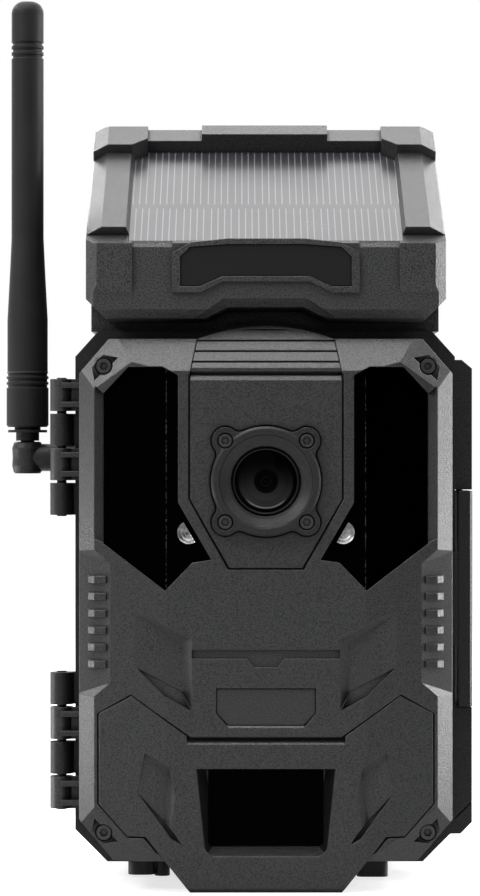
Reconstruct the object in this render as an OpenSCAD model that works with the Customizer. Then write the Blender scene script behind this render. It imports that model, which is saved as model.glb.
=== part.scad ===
// Cellular trail camera with a hinged door, a whip antenna and a solar hood.
// Millimetres, +Z up, -Y is the front. The origin is the mouth of the tripod socket in the base.

/* [Overall] */
// Width of the door
body_w = 113; // [94:0.5:136]
// Height of the door
body_h = 157.5; // [145:0.5:190]
// Depth of the door
door_d = 36; // [33:0.5:44]
// Depth of the rear housing
rear_d = 56; // [50:0.5:68]
// Height of the door's lower edge above the base
chin_drop = 9; // [7.5:0.1:11]
// Wall of the moulded shells
wall = 2.4; // [2:0.1:2.9]
// Thickness of the door's front wall
skin = 2.8; // [2.4:0.1:3.2]
// Seam between the door and the rear housing
seam = 0.3; // [0.25:0.01:0.4]
// Clearance round an inserted piece
fit_gap = 0.2; // [0.15:0.01:0.25]
// Radial clearance of a turning fit
run_gap = 0.05; // [0.02:0.01:0.08]

/* [Face] */
// Half width of the flat middle of the face
fold_half = 30; // [28:0.5:33]
// Backward tilt of the face's sides in degrees
fold_tilt = 10; // [8:0.5:12]
// Width of the bevelled side band
bevel_w = 4.8; // [4:0.1:5.8]
// Tilt of the bevelled side band in degrees
bevel_tilt = 45; // [38:1:50]
// Width of the side band beside the grip ribs
grip_w = 9.7; // [8.5:0.1:10.5]
// Height of a grip recess
grip_h = 40; // [34:0.5:46]
// Height of the grip recess's middle above the base
grip_z = 80.8; // [76:0.1:86]
// Ribs on each grip
grip_ribs = 6; // [3:1:7]
// Spacing of the grip ribs
rib_pitch = 5.1; // [4.4:0.1:5.6]
// Height of a grip rib
rib_h = 2.1; // [1.6:0.1:2.6]

/* [Windows] */
// Distance of an infrared window's outer edge from the door's side
win_side = 7.6; // [6.8:0.1:8.4]
// Distance of the windows' upper edge below the door's top
win_top_drop = 8.6; // [8:0.1:9.6]
// Distance of the windows' lower tip below the door's top
win_tip_drop = 75.9; // [70:0.1:80]
// Half width from the middle to a window's inner edge
win_inner = 26.4; // [25.6:0.1:28]
// Width that a window plate laps behind the wall
win_lap = 1.2; // [0.8:0.1:1.6]
// Thickness of a window plate
win_t = 2.2; // [1.6:0.1:2.6]

/* [Lens] */
// Half width of the lens panel
panel_half = 22.8; // [21:0.1:24]
// Half width of the lens panel's lower edge
panel_low_half = 10.9; // [9:0.1:12.5]
// Distance of the lens panel's top below the door's top
panel_top_drop = 11.2; // [10:0.1:13]
// Length of the lens panel
panel_len = 57.8; // [53:0.1:62]
// Distance of the lens axis below the door's top
lens_drop = 43; // [40:0.1:46]
// Radius of the lens ring
lens_r = 16.5; // [13.5:0.1:19.8]
// Radius of the lens ring's opening
lens_bore_r = 10.6; // [8.8:0.1:12.2]
// Radius of a screw ear on the lens ring
ear_r = 4; // [3.3:0.1:4.8]
// Thickness of the lens ring
lens_ring_t = 3.2; // [2.6:0.1:4]

/* [Lower cover] */
// Distance of the lower cover's side from the door's side
cover_side = 6; // [5.6:0.1:6.6]
// Half width of the chin
chin_half = 22.8; // [20:0.1:26]
// Depth of the chin lip
chin_d = 12; // [9:0.5:16]
// Half width of the movement sensor's window
pir_half = 17.4; // [14.5:0.1:19]
// Height of the movement sensor's window
pir_h = 23.7; // [20:0.1:26]
// Height of the window's lower edge above the base
pir_z = 13.5; // [12:0.1:15]

/* [Hinge and latch] */
// Radius of a hinge barrel
knuckle_r = 3.6; // [3.2:0.1:4.4]
// Length of a hinge barrel
knuckle_len = 9.9; // [8.2:0.1:10.2]
// Spacing of the hinge barrels
knuckle_pitch = 10.75; // [10.5:0.05:12.9]
// Radius of a hinge pin
pin_r = 1.5; // [1.2:0.05:1.8]
// Distance of the hinge axis from the door's side
hinge_out = 6.7; // [6.4:0.1:8]
// Thickness of the latch lever and its guards
latch_t = 5.3; // [4.8:0.1:6.2]
// Length of the latch lever from front to back
latch_d = 27; // [23:0.5:32]
// Radius of the latch pin
latch_pin_r = 1.2; // [1:0.05:1.5]

/* [Solar hood] */
// Half width of the hood
hood_half = 54.3; // [50:0.1:58]
// Height of the hood's front lip
lip_h = 22.5; // [20:0.1:26]
// Distance of the lip behind the front of the face
lip_f = 3; // [2:0.1:5]
// Tilt of the solar laminate in degrees
hood_tilt = 28; // [24:0.5:32]
// Length of the sloping top
slope_len = 78.5; // [66:0.5:88]
// Half width of the solar laminate
cell_half = 41.3; // [36:0.1:44]
// Height of the rear rail above the laminate
rail_h = 4; // [3:0.1:5]
// Length of the rear rail along the slope
rail_len = 9; // [7:0.1:11]
// Height of the rear rail's raised middle
mid_rail_h = 6.3; // [5.4:0.1:7.4]
// Half width of the rear rail's raised middle
mid_rail_half = 20; // [16:0.5:26]

/* [Antenna] */
// Distance of the whip's axis from the door's side
whip_out = 18.2; // [17.5:0.1:22]
// Length of the whip above its elbow
whip_len = 138.2; // [115:0.1:166]
// Radius of the whip at its tip
whip_tip_r = 5.05; // [4.2:0.05:5.6]
// Radius of the whip at its foot
whip_foot_r = 6.35; // [5.8:0.05:6.8]
// Radius of the antenna elbow
elbow_r = 4.85; // [4.5:0.05:5.6]
// Radius of the antenna jack's thread
jack_r = 3.1; // [2.6:0.05:3.4]
// Distance of the antenna jack below the door's top
jack_drop = 36; // [32:0.5:40]

/* [Inside] */
// Radius of a battery cell
cell_r = 7.25; // [6:0.05:8.7]
// Length of a battery cell
cell_len = 50.5; // [42:0.1:53]
// Battery cells side by side
cell_cols = 4; // [2:1:4]
// Radius of the threaded socket in the base
socket_r = 3.175; // [2.4:0.005:4.8]
// Depth of the threaded socket
socket_depth = 12; // [8:0.5:16]
// Radius of the boss round the socket
boss_r = 10.7; // [9:0.1:12]
// Radius of a corner screw's head
screw_head_r = 2.25; // [1.9:0.05:2.6]
// Radius of a corner screw's shank
screw_r = 1.3; // [1:0.05:1.5]
// Width of the memory card
card_w = 24; // [20:0.1:26]
// Length of the memory card
card_len = 32; // [26:0.1:36]
// Travel of the memory card
card_travel = 12; // [8:0.5:14]
// Travel of the power button
button_travel = 0.5; // [0.3:0.1:0.8]

/* [Hidden] */
$fn = 48;
hw = body_w / 2;
z0 = chin_drop;
z1 = z0 + body_h;
band_x = hw - bevel_w;
band_f = (band_x - fold_half) * tan(fold_tilt);
side_f = band_f + bevel_w * tan(bevel_tilt);
// Chamfers of the door's outline: width and height at the top, then at the bottom
top_cx = 9.1;
top_cz = 10.5;
low_cx = 10.4;
low_cz = 12.2;
// Rear housing: front plane, back plane, rim and shell
rear_f = door_d + seam;
rear_b = rear_f + rear_d;
rim_out = 2.5;
rim_d = 6;
rim_half = hw + rim_out;
rim_z0 = z0 - 4;
rim_z1 = z1 + 3.4;
shell_half = hw;
// Socket and the shift that puts its axis on the origin
socket_f = rear_f + boss_r + 1;
// Hinge axis and the tops of its two groups
hinge_x = -(hw + hinge_out);
hinge_f = door_d + seam / 2;
hinge_top_z = z1 - 11.6;
hinge_low_z = z0 + 54.9;
// Lens
lens_z = z1 - lens_drop;
panel_z1 = z1 - panel_top_drop;
panel_z0 = panel_z1 - panel_len;
ear_at = lens_r * 0.74;
// Brow over the lens panel
brow_rise = 3.9;
brow_half = 20.4;
brow_arc = (brow_half * brow_half + brow_rise * brow_rise) / (2 * brow_rise);
brow_arc_z = z1 + brow_rise - brow_arc;
// Windows
win_x = hw - win_side;
win_z1 = z1 - win_top_drop;
win_tip = z1 - win_tip_drop;
// Lower cover
cov_x = hw - cover_side;
cov_z1 = z0 + 50.1;
cov_mid_z = z0 + 37.5;
// Latch
latch_x0 = rim_half + 1;
latch_x1 = rim_half + latch_t;
latch_f0 = rear_f - 2.8;
latch_pin_x = rim_half + 2.8;
latch_pin_f = latch_f0 + latch_d - 3.4;
guard_z1 = z1 - 5.6;
guard_mid_z1 = z1 - 45.9;
guard_mid_z0 = z0 + 43.9;
guard_z0 = z0 + 4.6;
// Slope of the lower guard's foot, and the line across it
guard_cut = 3.6;
guard_line_z = z0 + 14.4;
guard_line_w = 0.4;
guard_line_d = 0.6;
latch_gap = 0.5;
latch_bore_r = latch_pin_r + run_gap;
// Hood
hood_z0 = rim_z1;
lip_z0 = rim_z1 + 2.8;
lip_z1 = lip_z0 + lip_h;
hood_neck_f = rear_f + rim_d;
lip_chamfer = 5.7;
lip_bevel = 2.6;
notch_rise = 3.3;
// Antenna
whip_x = -(hw + whip_out);
jack_z = z1 - jack_drop;
jack_f = rear_f + 13.7;
elbow_h = 10;
whip_z0 = jack_z + elbow_h / 2 + 0.3;
// Battery tray
tray_floor = 1.6;
tray_wall = 1.6;
cell_pitch = 2 * cell_r + 0.7;
cell_f = rear_b - wall - tray_floor - 0.3 - cell_r;
cell_end = 1.2;
tray_half = cell_cols * cell_pitch / 2 + 0.3;
tray_z = z0 + 14;
tray_len = 2 * cell_len + 3 * cell_end;
// Boards and the inner cover of the door
board_f = door_d - 11;
board_t = 1.6;
inner_f = door_d - 4.5;
inner_t = 2.2;
boss_top_z = z1 - 8.3;
boss_low_z = z0 + 8.4;
corner_boss_r = 3.4;

black_c = [0.10, 0.10, 0.11];
grey_c = [0.22, 0.22, 0.23];
steel_c = [0.62, 0.63, 0.65];
brass_c = [0.72, 0.58, 0.28];
board_c = [0.08, 0.30, 0.16];

// Moves a piece from the drawing frame, whose front plane is y = 0, to the part's frame.
module put() translate([0, -socket_f, 0]) children();

// Draws its children on the left and, mirrored, on the right.
module both() {
  children();
  mirror([1, 0, 0]) children();
}

// An outline in X and Z, filled from one depth to another.
module slab(pts, f_a, f_b)
  translate([0, f_b, 0]) rotate([90, 0, 0]) linear_extrude(height = f_b - f_a) polygon(pts);

// An outline in depth and Z, filled from one X to another.
module side_slab(pts, x_a, x_b)
  translate([x_a, 0, 0]) rotate([90, 0, 90]) linear_extrude(height = x_b - x_a) polygon(pts);

// An outline in X and depth, filled from one Z to another.
module plan_slab(pts, z_a, z_b)
  translate([0, 0, z_a]) linear_extrude(height = z_b - z_a) polygon(pts);

// A box from its lower corner to its upper corner.
module block(a, b) translate(a) cube(b - a);

// A rod along the depth, at x and z.
module rod_y(r, x, z, f_a, f_b) translate([x, f_b, z]) rotate([90, 0, 0]) cylinder(r = r, h = f_b - f_a);

// A rod along Z.
module rod_z(r, x, f, z_a, z_b) translate([x, f, z_a]) cylinder(r = r, h = z_b - z_a);

// A rod along X.
module rod_x(r, f, z, x_a, x_b) translate([x_a, f, z]) rotate([0, 90, 0]) cylinder(r = r, h = x_b - x_a);

// Turns +Z to point to the front, leaning by tilt towards the direction az in X and Z.
module face_frame(p, az, tilt) translate(p) rotate([90, 0, 0]) rotate([0, 0, az]) rotate([0, tilt, 0])
  children();

// All space in front of a plane through p, which can be sunk by a distance.
module ahead_of(p, az, tilt, sink = 0)
  face_frame(p, az, tilt) translate([-200, -200, -sink]) cube([400, 400, 120]);

function octagon(w, za, zb, cxa, cza, cxb, czb) = [
  [-w, za + cza], [-w + cxa, za], [w - cxa, za], [w, za + cza],
  [w, zb - czb], [w - cxb, zb], [-w + cxb, zb], [-w, zb - czb]];

function round_rect(xa, fa, xb, fb, r) = [for (q = [0 : 3], a = [q * 90 : 15 : q * 90 + 90])
  [(q == 0 || q == 3 ? xb - r : xa + r) + r * cos(a), (q < 2 ? fb - r : fa + r) + r * sin(a)]];

function fold_f(x) = max(0, (abs(x) - fold_half) * tan(fold_tilt));

// Door

door_outline = octagon(hw, z0, z1, low_cx, low_cz, top_cx, top_cz);
// Corner facets: distance of the inner edge from the chamfer, and the tilt, at the top and at the bottom
facet_in_top = 8.5;
facet_in_low = 8.1;
facet_tilt_top = 31.5;
facet_tilt_low = 33;
facet_az_top = atan2(top_cx, -top_cz);
facet_az_low = atan2(-low_cx, -low_cz);
facet_top_x = -hw + top_cx / 2 - facet_in_top * cos(facet_az_top);
facet_top_z = z1 - top_cz / 2 - facet_in_top * sin(facet_az_top);
facet_low_x = -hw + low_cx / 2 - facet_in_low * cos(facet_az_low);
facet_low_z = z0 + low_cz / 2 - facet_in_low * sin(facet_az_low);
// Sloping upper band of the frame
top_band_h = 8.5;
top_band_f = 0.9;
top_band_tilt = 34;
screw_x = hw - 7.6;
screw_top_z = boss_top_z;
screw_low_z = boss_low_z;
// Distance from a screw to the outer side of its kite-shaped pocket, and the round seat below that pocket
kite_far = 2.6;
screw_seat = 0.9;
function facet_f(z, fx, fz, az, tilt) = fold_f(fx)
  + ((-screw_x - fx) * cos(az) + (z - fz) * sin(az) + kite_far) * tan(tilt);
screw_top_f = facet_f(screw_top_z, facet_top_x, facet_top_z, facet_az_top, facet_tilt_top) + screw_seat;
screw_low_f = facet_f(screw_low_z, facet_low_x, facet_low_z, facet_az_low, facet_tilt_low) + screw_seat;
screw_head_h = 1.7;
screw_pocket_r = screw_head_r + 0.45;
screw_shank = 8;
cover_screw_x = hw - wall - corner_boss_r + 0.4;
cover_screw_z = [z0 + 40, z1 - 40];

function fold_front(d, back) = [
  [-hw, side_f + d], [-band_x, band_f + d], [-fold_half, d], [fold_half, d], [band_x, band_f + d],
  [hw, side_f + d], [hw, back], [-hw, back]];

// A folded sheet that follows the face, from one depth below it to another.
module fold_sheet(d_a, d_b, z_a, z_b)
  plan_slab([
    [-hw, fold_f(hw) + d_a], [-fold_half, d_a], [fold_half, d_a], [hw, fold_f(hw) + d_a],
    [hw, fold_f(hw) + d_b], [fold_half, d_b], [-fold_half, d_b], [-hw, fold_f(hw) + d_b]], z_a, z_b);

module door_cuts(sink) {
  both() {
    ahead_of([facet_top_x, fold_f(facet_top_x), facet_top_z], facet_az_top, facet_tilt_top, sink);
    ahead_of([facet_low_x, fold_f(facet_low_x), facet_low_z], facet_az_low, facet_tilt_low, sink);
  }
  ahead_of([0, top_band_f, z1 - top_band_h], 90, top_band_tilt, sink);
  ahead_of([0, 2.5, z0 + 1.6], 270, 45, sink);
}

// Grip recess on the left side band
grip_end_az = 136.7;
grip_end_tilt = 52;
grip_x = hw - grip_w;
grip_end_x = hw - (bevel_w + grip_w) / 2;

// Tilt of the recess's floor, which ends a little below the side band's outer edge
grip_drop = 0.3;
grip_tilt = atan((side_f + grip_drop - fold_f(grip_x)) / grip_w);
// Distance of a rib's outer end from the door's side, a rib's length, and the row's rise above the middle
rib_side = 2.9;
rib_len = 5.4;
rib_rise = 0.3;
module grip_cut() difference() {
  intersection() {
    ahead_of([-grip_x, fold_f(grip_x), grip_z], 180, grip_tilt);
    ahead_of([-grip_end_x, fold_f(grip_end_x), grip_z - grip_h / 2], grip_end_az, grip_end_tilt);
    ahead_of([-grip_end_x, fold_f(grip_end_x), grip_z + grip_h / 2], -grip_end_az, grip_end_tilt);
  }
  for (i = [0 : grip_ribs - 1])
    translate([-hw + rib_side, -5, grip_z + rib_rise + (i - (grip_ribs - 1) / 2) * rib_pitch - rib_h / 2])
      cube([rib_len, 30, rib_h]);
}

// Cavity of the door: its flat front ends where the side slopes begin
cav_x = grip_x - 0.3;
cav_f = fold_f(cav_x) + skin;
cav_half = hw - wall;

module door_cavity() difference() {
  intersection() {
    slab(octagon(cav_half, z0 + wall, z1 - wall, low_cx, low_cz, top_cx, top_cz), 0, door_d + 1);
    plan_slab([
      [-cav_half, cav_f + cav_half - cav_x], [-cav_x, cav_f], [-fold_half, skin], [fold_half, skin],
      [cav_x, cav_f], [cav_half, cav_f + cav_half - cav_x], [cav_half, door_d + 1],
        [-cav_half, door_d + 1]],
      z0, z1);
  }
  door_cuts(skin);
}

// Left infrared window, widened by a lap
win_low_in = [16.35, lens_z - 23.6];
function window_pts(l) = [
  [-win_x - l, win_z1 - 7.9], [-win_x + 7.5 - l * 0.4, win_z1 + l],
    [-fold_half - 1.2 + l * 0.3, win_z1 + l],
  [-win_inner + l, win_z1 - 2.5 + l * 0.4], [-win_inner + l, lens_z - 6.4],
  [-win_low_in[0] + l, win_low_in[1] + l * 0.3], [-win_low_in[0] - 5.8 + l * 0.4,
    win_low_in[1] - 0.9 - l * 0.8],
  [-fold_half - 0.3, win_tip - l * 1.2], [-win_x - l, lens_z - 18.8 - l * 0.3]];

module window_chamfer() {
  step = fold_f(win_x) + skin - band_f;
  intersection() {
    slab([[-band_x, win_z1 - 5.4], [-win_x + 0.5, win_z1 - 8.4], [-win_x + 0.5, lens_z - 18.6],
      [-band_x, lens_z - 17.2]], -5, 20);
    ahead_of([-band_x, band_f, lens_z], 0, atan(step / (band_x - win_x)));
  }
}

// Lens panel and brow
panel_bend_z = lens_z - 5.3;
function panel_pts(g) = [
  [-panel_half - g, panel_z1 + g], [-panel_half - g, panel_bend_z], [-panel_low_half - g, panel_z0 - g],
  [panel_low_half + g, panel_z0 - g], [panel_half + g, panel_bend_z], [panel_half + g, panel_z1 + g]];
function brow_pts(g) = [
  [-panel_half - g, panel_z1 + fit_gap], [panel_half + g, panel_z1 + fit_gap], [brow_half + g, z1 + 1],
  [-brow_half - g, z1 + 1]];

// Vents in the middle face, drawn on the left
vent_out = 39.3;
vent_in = 22.2;
vent_z1 = z0 + 75.9;
vent_low_z = z0 + 58.5;
vent_end_z = z0 + 45.6;
vent_depth = 2.2;
vent_wall_tilt = 39;
vent_wall_w = vent_depth / tan(vent_wall_tilt);
slit_depth = skin - 0.5;

module vent_cut() {
  intersection() {
    slab([[-vent_out, vent_z1], [-vent_in, vent_z1 - 9], [-vent_in, vent_end_z],
      [-vent_in - 3, vent_end_z + 5.7], [-vent_out, vent_low_z]], -5, 10);
    ahead_of([-vent_out, fold_f(vent_out), vent_z1], 0,
      atan((vent_depth - fold_f(vent_out)) / (vent_out - vent_in - vent_wall_w)));
    ahead_of([-vent_in, 0, vent_z1], 180, vent_wall_tilt);
    ahead_of([-vent_out, fold_f(vent_out) - 0.5, vent_z1], 240, vent_wall_tilt);
  }
  slab([[-vent_out + 0.3, vent_low_z], [-vent_in - 3, vent_end_z + 5.7], [-vent_in - 0.3, vent_end_z],
    [-vent_in - 8.1, vent_end_z + 4.2]], -5, slit_depth);
}

// Channel across the middle face, and the recess for its bare plate
channel_z = z0 + 62.6;
channel_h = 2.7;
channel_deep = 0.9;
channel_half = 22.2;
plate_half = 14.8;
plate_z1 = z0 + 52.2;
plate_z0 = z0 + 41.4;
plate_deep = 0.9;
plate_f = 0.5;
plate_corner = 3.5;
plate_foot = 0.9;
function face_plate_pts(g, foot) = [
  [-plate_half - g, plate_z1 + g], [-plate_half - g, plate_z0 + plate_corner],
  [-plate_half + plate_corner, plate_z0 - foot], [plate_half - plate_corner, plate_z0 - foot],
  [plate_half + g, plate_z0 + plate_corner], [plate_half + g, plate_z1 + g]];

module channel_cut() {
  block([-channel_half, -5, channel_z - channel_h / 2],
    [channel_half, channel_deep, channel_z + channel_h / 2]);
  slab([[-5.6, channel_z - channel_h / 2 + 0.01], [-3.4, channel_z - channel_h / 2 - 2.6],
    [3.4, channel_z - channel_h / 2 - 2.6], [5.6, channel_z - channel_h / 2 + 0.01]], -5, channel_deep);
}

// Lower cover: its outline, drawn in by a gap but not at the chin's foot
cov_knee_x = 36.3;
function cover_pts(g) = [
  [-cov_x + g, z0 + 44.6], [-cov_x + 10 + g * 0.3, cov_z1 - g], [-chin_half - g * 0.3, cov_mid_z - g],
  [chin_half + g * 0.3, cov_mid_z - g], [cov_x - 10 - g * 0.3, cov_z1 - g], [cov_x - g, z0 + 44.6],
  [cov_x - g, z0 + 17.4], [cov_x - 8.8, z0 + 7.6 + g], [cov_knee_x - g, z0 + 7.5 + g], [chin_half, 0],
  [-chin_half, 0], [-cov_knee_x + g, z0 + 7.5 + g], [-cov_x + 8.8, z0 + 7.6 + g], [-cov_x + g, z0 + 17.4]];

// Open groove round the lens panel and the lower cover: its width beyond the clearance, and its depth
panel_line_w = 0.35;
panel_line_d = 1.2;

// Hinge barrels on the door: even places of the upper group, odd places of the lower group
door_leaf_d = 5.6;
door_rib_t = 1.6;
function knuckle_z(top, i) = top - knuckle_len - i * knuckle_pitch;

module door_knuckle(z) {
  rod_z(knuckle_r, hinge_x, hinge_f, z, z + knuckle_len);
  for (dz = [1.2, knuckle_len - 1.2 - door_rib_t])
    block([hinge_x, door_d - door_leaf_d, z + dz], [-hw + 0.6, door_d, z + dz + door_rib_t]);
  block([hinge_x, door_d - 1.8, z], [-hw + 0.6, door_d, z + knuckle_len]);
}

module door_knuckles() difference() {
  union() {
    door_knuckle(knuckle_z(hinge_top_z, 0));
    door_knuckle(knuckle_z(hinge_top_z, 2));
    door_knuckle(knuckle_z(hinge_low_z, 1));
    door_knuckle(knuckle_z(hinge_low_z, 3));
  }
  rod_z(pin_r + run_gap, hinge_x, hinge_f, z0, z1);
}

// Notch in the door's right edge, open to the back, where the latch lever's nose lies
nose_half = 14.5;
nose_mid_z = (guard_mid_z0 + guard_mid_z1) / 2;
nose_f0 = latch_f0 + 0.1;
nose_in = 1.5;

// Kite-shaped pocket round a corner screw, with its point up or down
module screw_kite(z, up, f) slab([
  [-screw_x - 3.8, z + up * 1.1], [-screw_x - 1, z + up * 3.5], [-screw_x + 4.4, z + up * 2.5],
  [-screw_x - 2.8, z - up * 4.4]], -5, f);

module front_shell() color(grey_c) put() difference() {
  union() {
    difference() {
      intersection() {
        slab(door_outline, -5, door_d);
        plan_slab(fold_front(0, door_d), z0 - 1, z1 + 1);
      }
      door_cavity();
      door_cuts(0);
      both() grip_cut();
    }
    both() {
      rod_y(corner_boss_r, -screw_x, screw_top_z, screw_top_f - 0.6, inner_f);
      rod_y(corner_boss_r, -screw_x, screw_low_z, screw_low_f - 0.6, inner_f);
      for (z = cover_screw_z) rod_y(corner_boss_r, -cover_screw_x, z, inner_f - screw_shank - 4, inner_f);
    }
    door_knuckles();
  }
  both() {
    slab(window_pts(0), -5, skin + 5);
    window_chamfer();
    intersection() {
      slab(window_pts(win_lap + fit_gap), 0, 30);
      fold_sheet(skin, skin + win_t + 4, z0, z1);
    }
    vent_cut();
    screw_kite(screw_top_z, 1, screw_top_f - screw_seat);
    screw_kite(screw_low_z, -1, screw_low_f - screw_seat);
    rod_y(screw_pocket_r, -screw_x, screw_top_z, -5, screw_top_f);
    rod_y(screw_pocket_r, -screw_x, screw_low_z, -5, screw_low_f);
    rod_y(screw_r, -screw_x, screw_top_z, 0, screw_top_f + screw_shank + 1);
    rod_y(screw_r, -screw_x, screw_low_z, 0, screw_low_f + screw_shank + 1);
    for (z = cover_screw_z) rod_y(screw_r, -cover_screw_x, z, inner_f - screw_shank, door_d);
  }
  slab(panel_pts(fit_gap), -5, skin + 2);
  ring_recess();
  slab(brow_pts(fit_gap), -5, 10.2);
  slab(cover_pts(0), -5, skin + fold_f(cov_x) + 0.6);
  slab(panel_pts(fit_gap + panel_line_w), -5, panel_line_d);
  intersection() {
    slab(cover_pts(-panel_line_w), -5, 30);
    fold_sheet(-2, panel_line_d, -1, z1);
  }
  channel_cut();
  intersection() {
    slab(face_plate_pts(fit_gap, plate_foot), -5, plate_deep);
    ahead_of([0, 0, plate_z0 - plate_foot], 90, 45);
  }
  block([hw - wall - 1, nose_f0 - 1.2, nose_mid_z - nose_half - 0.6],
    [hw + 1, door_d + 1, nose_mid_z + nose_half + 0.6]);
}

module face_plate() color(black_c) put() slab(face_plate_pts(0, 0), plate_f, plate_deep);

module corner_screw(x, z, f) difference() {
  union() {
    rod_y(screw_head_r, x, z, f - screw_head_h, f);
    rod_y(screw_r, x, z, f - 0.1, f + screw_shank);
  }
  translate([x, f - screw_head_h - 0.1, z]) rotate([-90, 0, 0]) cylinder(r = 1.3, h = 1.2, $fn = 6);
}

module corner_screws() color(steel_c) put() both() {
  corner_screw(-screw_x, screw_top_z, screw_top_f);
  corner_screw(-screw_x, screw_low_z, screw_low_f);
}

module window_pane() intersection() {
  slab(window_pts(win_lap), 0, 30);
  fold_sheet(skin, skin + win_t, z0, z1);
}

module ir_window_left() color(black_c) put() window_pane();
module ir_window_right() color(black_c) put() mirror([1, 0, 0]) window_pane();

// Lower cover with its chin lip
pir_top_half = 21;
pir_low_half = 18.6;
pir_lip = 2.7;
pir_corner = 4;
pir_foot_z = pir_z - pir_lip;
function pir_outer() = concat(
  [[pir_top_half, pir_z + pir_h], [-pir_top_half, pir_z + pir_h]],
  [for (a = [180 : 15 : 270])
    [pir_corner * (1 + cos(a)) - pir_low_half, pir_foot_z + pir_corner * (1 + sin(a))]],
  [for (a = [270 : 15 : 360])
    [pir_low_half - pir_corner * (1 - cos(a)), pir_foot_z + pir_corner * (1 + sin(a))]]);
function pir_inner(g) = [
  [-pir_half - g, pir_z + pir_h + g], [-pir_half - g, pir_z + 1], [-pir_half + 1, pir_z - g],
  [pir_half - 1, pir_z - g], [pir_half + g, pir_z + 1], [pir_half + g, pir_z + pir_h + g]];

// Sloping sides and foot of the movement sensor's recess
pir_sill = skin + 2.4;
pir_bevel_d = pir_sill - 0.7;
pir_sill_w = 1.5;
pir_tilt = atan(pir_bevel_d / (pir_lip + 0.4));
pir_lean = atan2(pir_top_half - pir_low_half, pir_h);
module pir_bevel() intersection() {
  slab(pir_outer(), -5, pir_bevel_d);
  ahead_of([-pir_top_half, 0, pir_z + pir_h], pir_lean, pir_tilt);
  mirror([1, 0, 0]) ahead_of([-pir_top_half, 0, pir_z + pir_h], pir_lean, pir_tilt);
  ahead_of([0, 0, pir_foot_z], 90, pir_tilt);
}

pir_pane_t = 1.6;

low_vent_out = 38.7;
low_vent_z1 = z0 + 33.3;
low_vent_end_z = z0 + 5.4;

module low_vent_cut() {
  intersection() {
    slab([[-low_vent_out + 2.4, low_vent_z1], [-28.8, z0 + 28.2], [-25.2, low_vent_end_z],
      [-low_vent_out, z0 + 21]], -5, 10);
    ahead_of([-low_vent_out, fold_f(low_vent_out), low_vent_z1], 0, 3.4);
    ahead_of([-27.2, 0, z0 + 20], 171, vent_wall_tilt);
    ahead_of([-low_vent_out + 2.4, fold_f(low_vent_out) - 0.7, low_vent_z1], 236, vent_wall_tilt);
  }
  slab([[-low_vent_out, z0 + 21], [-27.6, z0 + 9], [-25.3, low_vent_end_z], [-28.4, z0 + 7.2]], -5,
    slit_depth);
}

module lower_cover() color(grey_c) put() difference() {
  union() {
    intersection() {
      slab(cover_pts(fit_gap), -5, 30);
      fold_sheet(0, skin, -1, z1);
    }
    intersection() {
      slab(cover_pts(fit_gap), 0, chin_d);
      block([-hw, 0, 0], [hw, chin_d, z0 - fit_gap]);
    }
    block([-pir_top_half - pir_sill_w, skin / 2, pir_foot_z - pir_sill_w / 2],
      [pir_top_half + pir_sill_w, pir_sill, pir_z + pir_h + pir_sill_w]);
  }
  both() low_vent_cut();
  intersection() {
    block([-chin_half - 1, -5, cov_mid_z - 4], [chin_half + 1, 5, cov_mid_z + 1]);
    ahead_of([0, 0, cov_mid_z - 2], 90, 45);
  }
  intersection() {
    block([-hw, -5, -1], [hw, 30, z0]);
    ahead_of([0, 0, 1.2], 270, 40);
  }
  pir_bevel();
  slab(pir_inner(0), -5, 10);
}

module pir_window() color(black_c) put() slab(pir_inner(1.4), pir_sill, pir_sill + pir_pane_t);

// Lens panel, brow and lens

panel_f = 0.3;
barrel_r = lens_bore_r - 0.4;
glass_r = barrel_r - 1.2;
iris_r = 3.9;
ring_screw_r = 1;
ring_head_r = 2;
ring_head_h = 1;
ear_sink = 1.2;
// Recess of the lens ring in its panel: its depth, and the open seam round the ring
ring_sink = 0.8;
ring_seam = 0.45;
ring_back_f = panel_f + ring_sink;
ring_h = lens_ring_t + ring_sink;
barrel_back_f = door_d - 16;

module lens_panel() color(grey_c) put() difference() {
  slab(panel_pts(0), panel_f, skin);
  rod_y(barrel_r + fit_gap, 0, lens_z, -5, 10);
  ahead_of([0, panel_f, panel_z1 - 1.5], 90, 30);
  ring_recess();
  for (sx = [-1, 1], sz = [-1, 1]) rod_y(ring_screw_r, sx * ear_at, lens_z + sz * ear_at, -5, 10);
}

// Revolved about the lens axis, with heights measured towards the front from a depth.
module lens_turn(f) translate([0, f, lens_z]) rotate([90, 0, 0])
  rotate_extrude($fn = 96) children();

// Hollow blends between an ear and the ring: their distance from the ring's axis, their angle from the ear
blend_r = 3;
ear_far = ear_at * sqrt(2);
blend_far = lens_r + blend_r;
blend_a = acos((blend_far * blend_far + ear_far * ear_far - (ear_r + blend_r) * (ear_r + blend_r))
  / (2 * blend_far * ear_far));

module ear_blend(a, turn, g, f_a, f_b) translate([0, f_b, lens_z]) rotate([90, 0, 0])
  linear_extrude(height = f_b - f_a) difference() {
    polygon([
      [ear_far * cos(a), ear_far * sin(a)], [blend_far * cos(a + turn), blend_far * sin(a + turn)],
      [(lens_r - 1.5) * cos(a + turn), (lens_r - 1.5) * sin(a + turn)],
      [(lens_r - 1.5) * cos(a), (lens_r - 1.5) * sin(a)]]);
    translate([blend_far * cos(a + turn), blend_far * sin(a + turn)]) circle(r = blend_r - g);
  }

// The four ears and their blends, widened by a seam
module ring_ears(g, f_a, f_b) {
  for (a = [45 : 90 : 315], turn = [-blend_a, blend_a]) ear_blend(a, turn, g, f_a, f_b);
  for (sx = [-1, 1], sz = [-1, 1]) rod_y(ear_r + g, sx * ear_at, lens_z + sz * ear_at, f_a, f_b);
}

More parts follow.
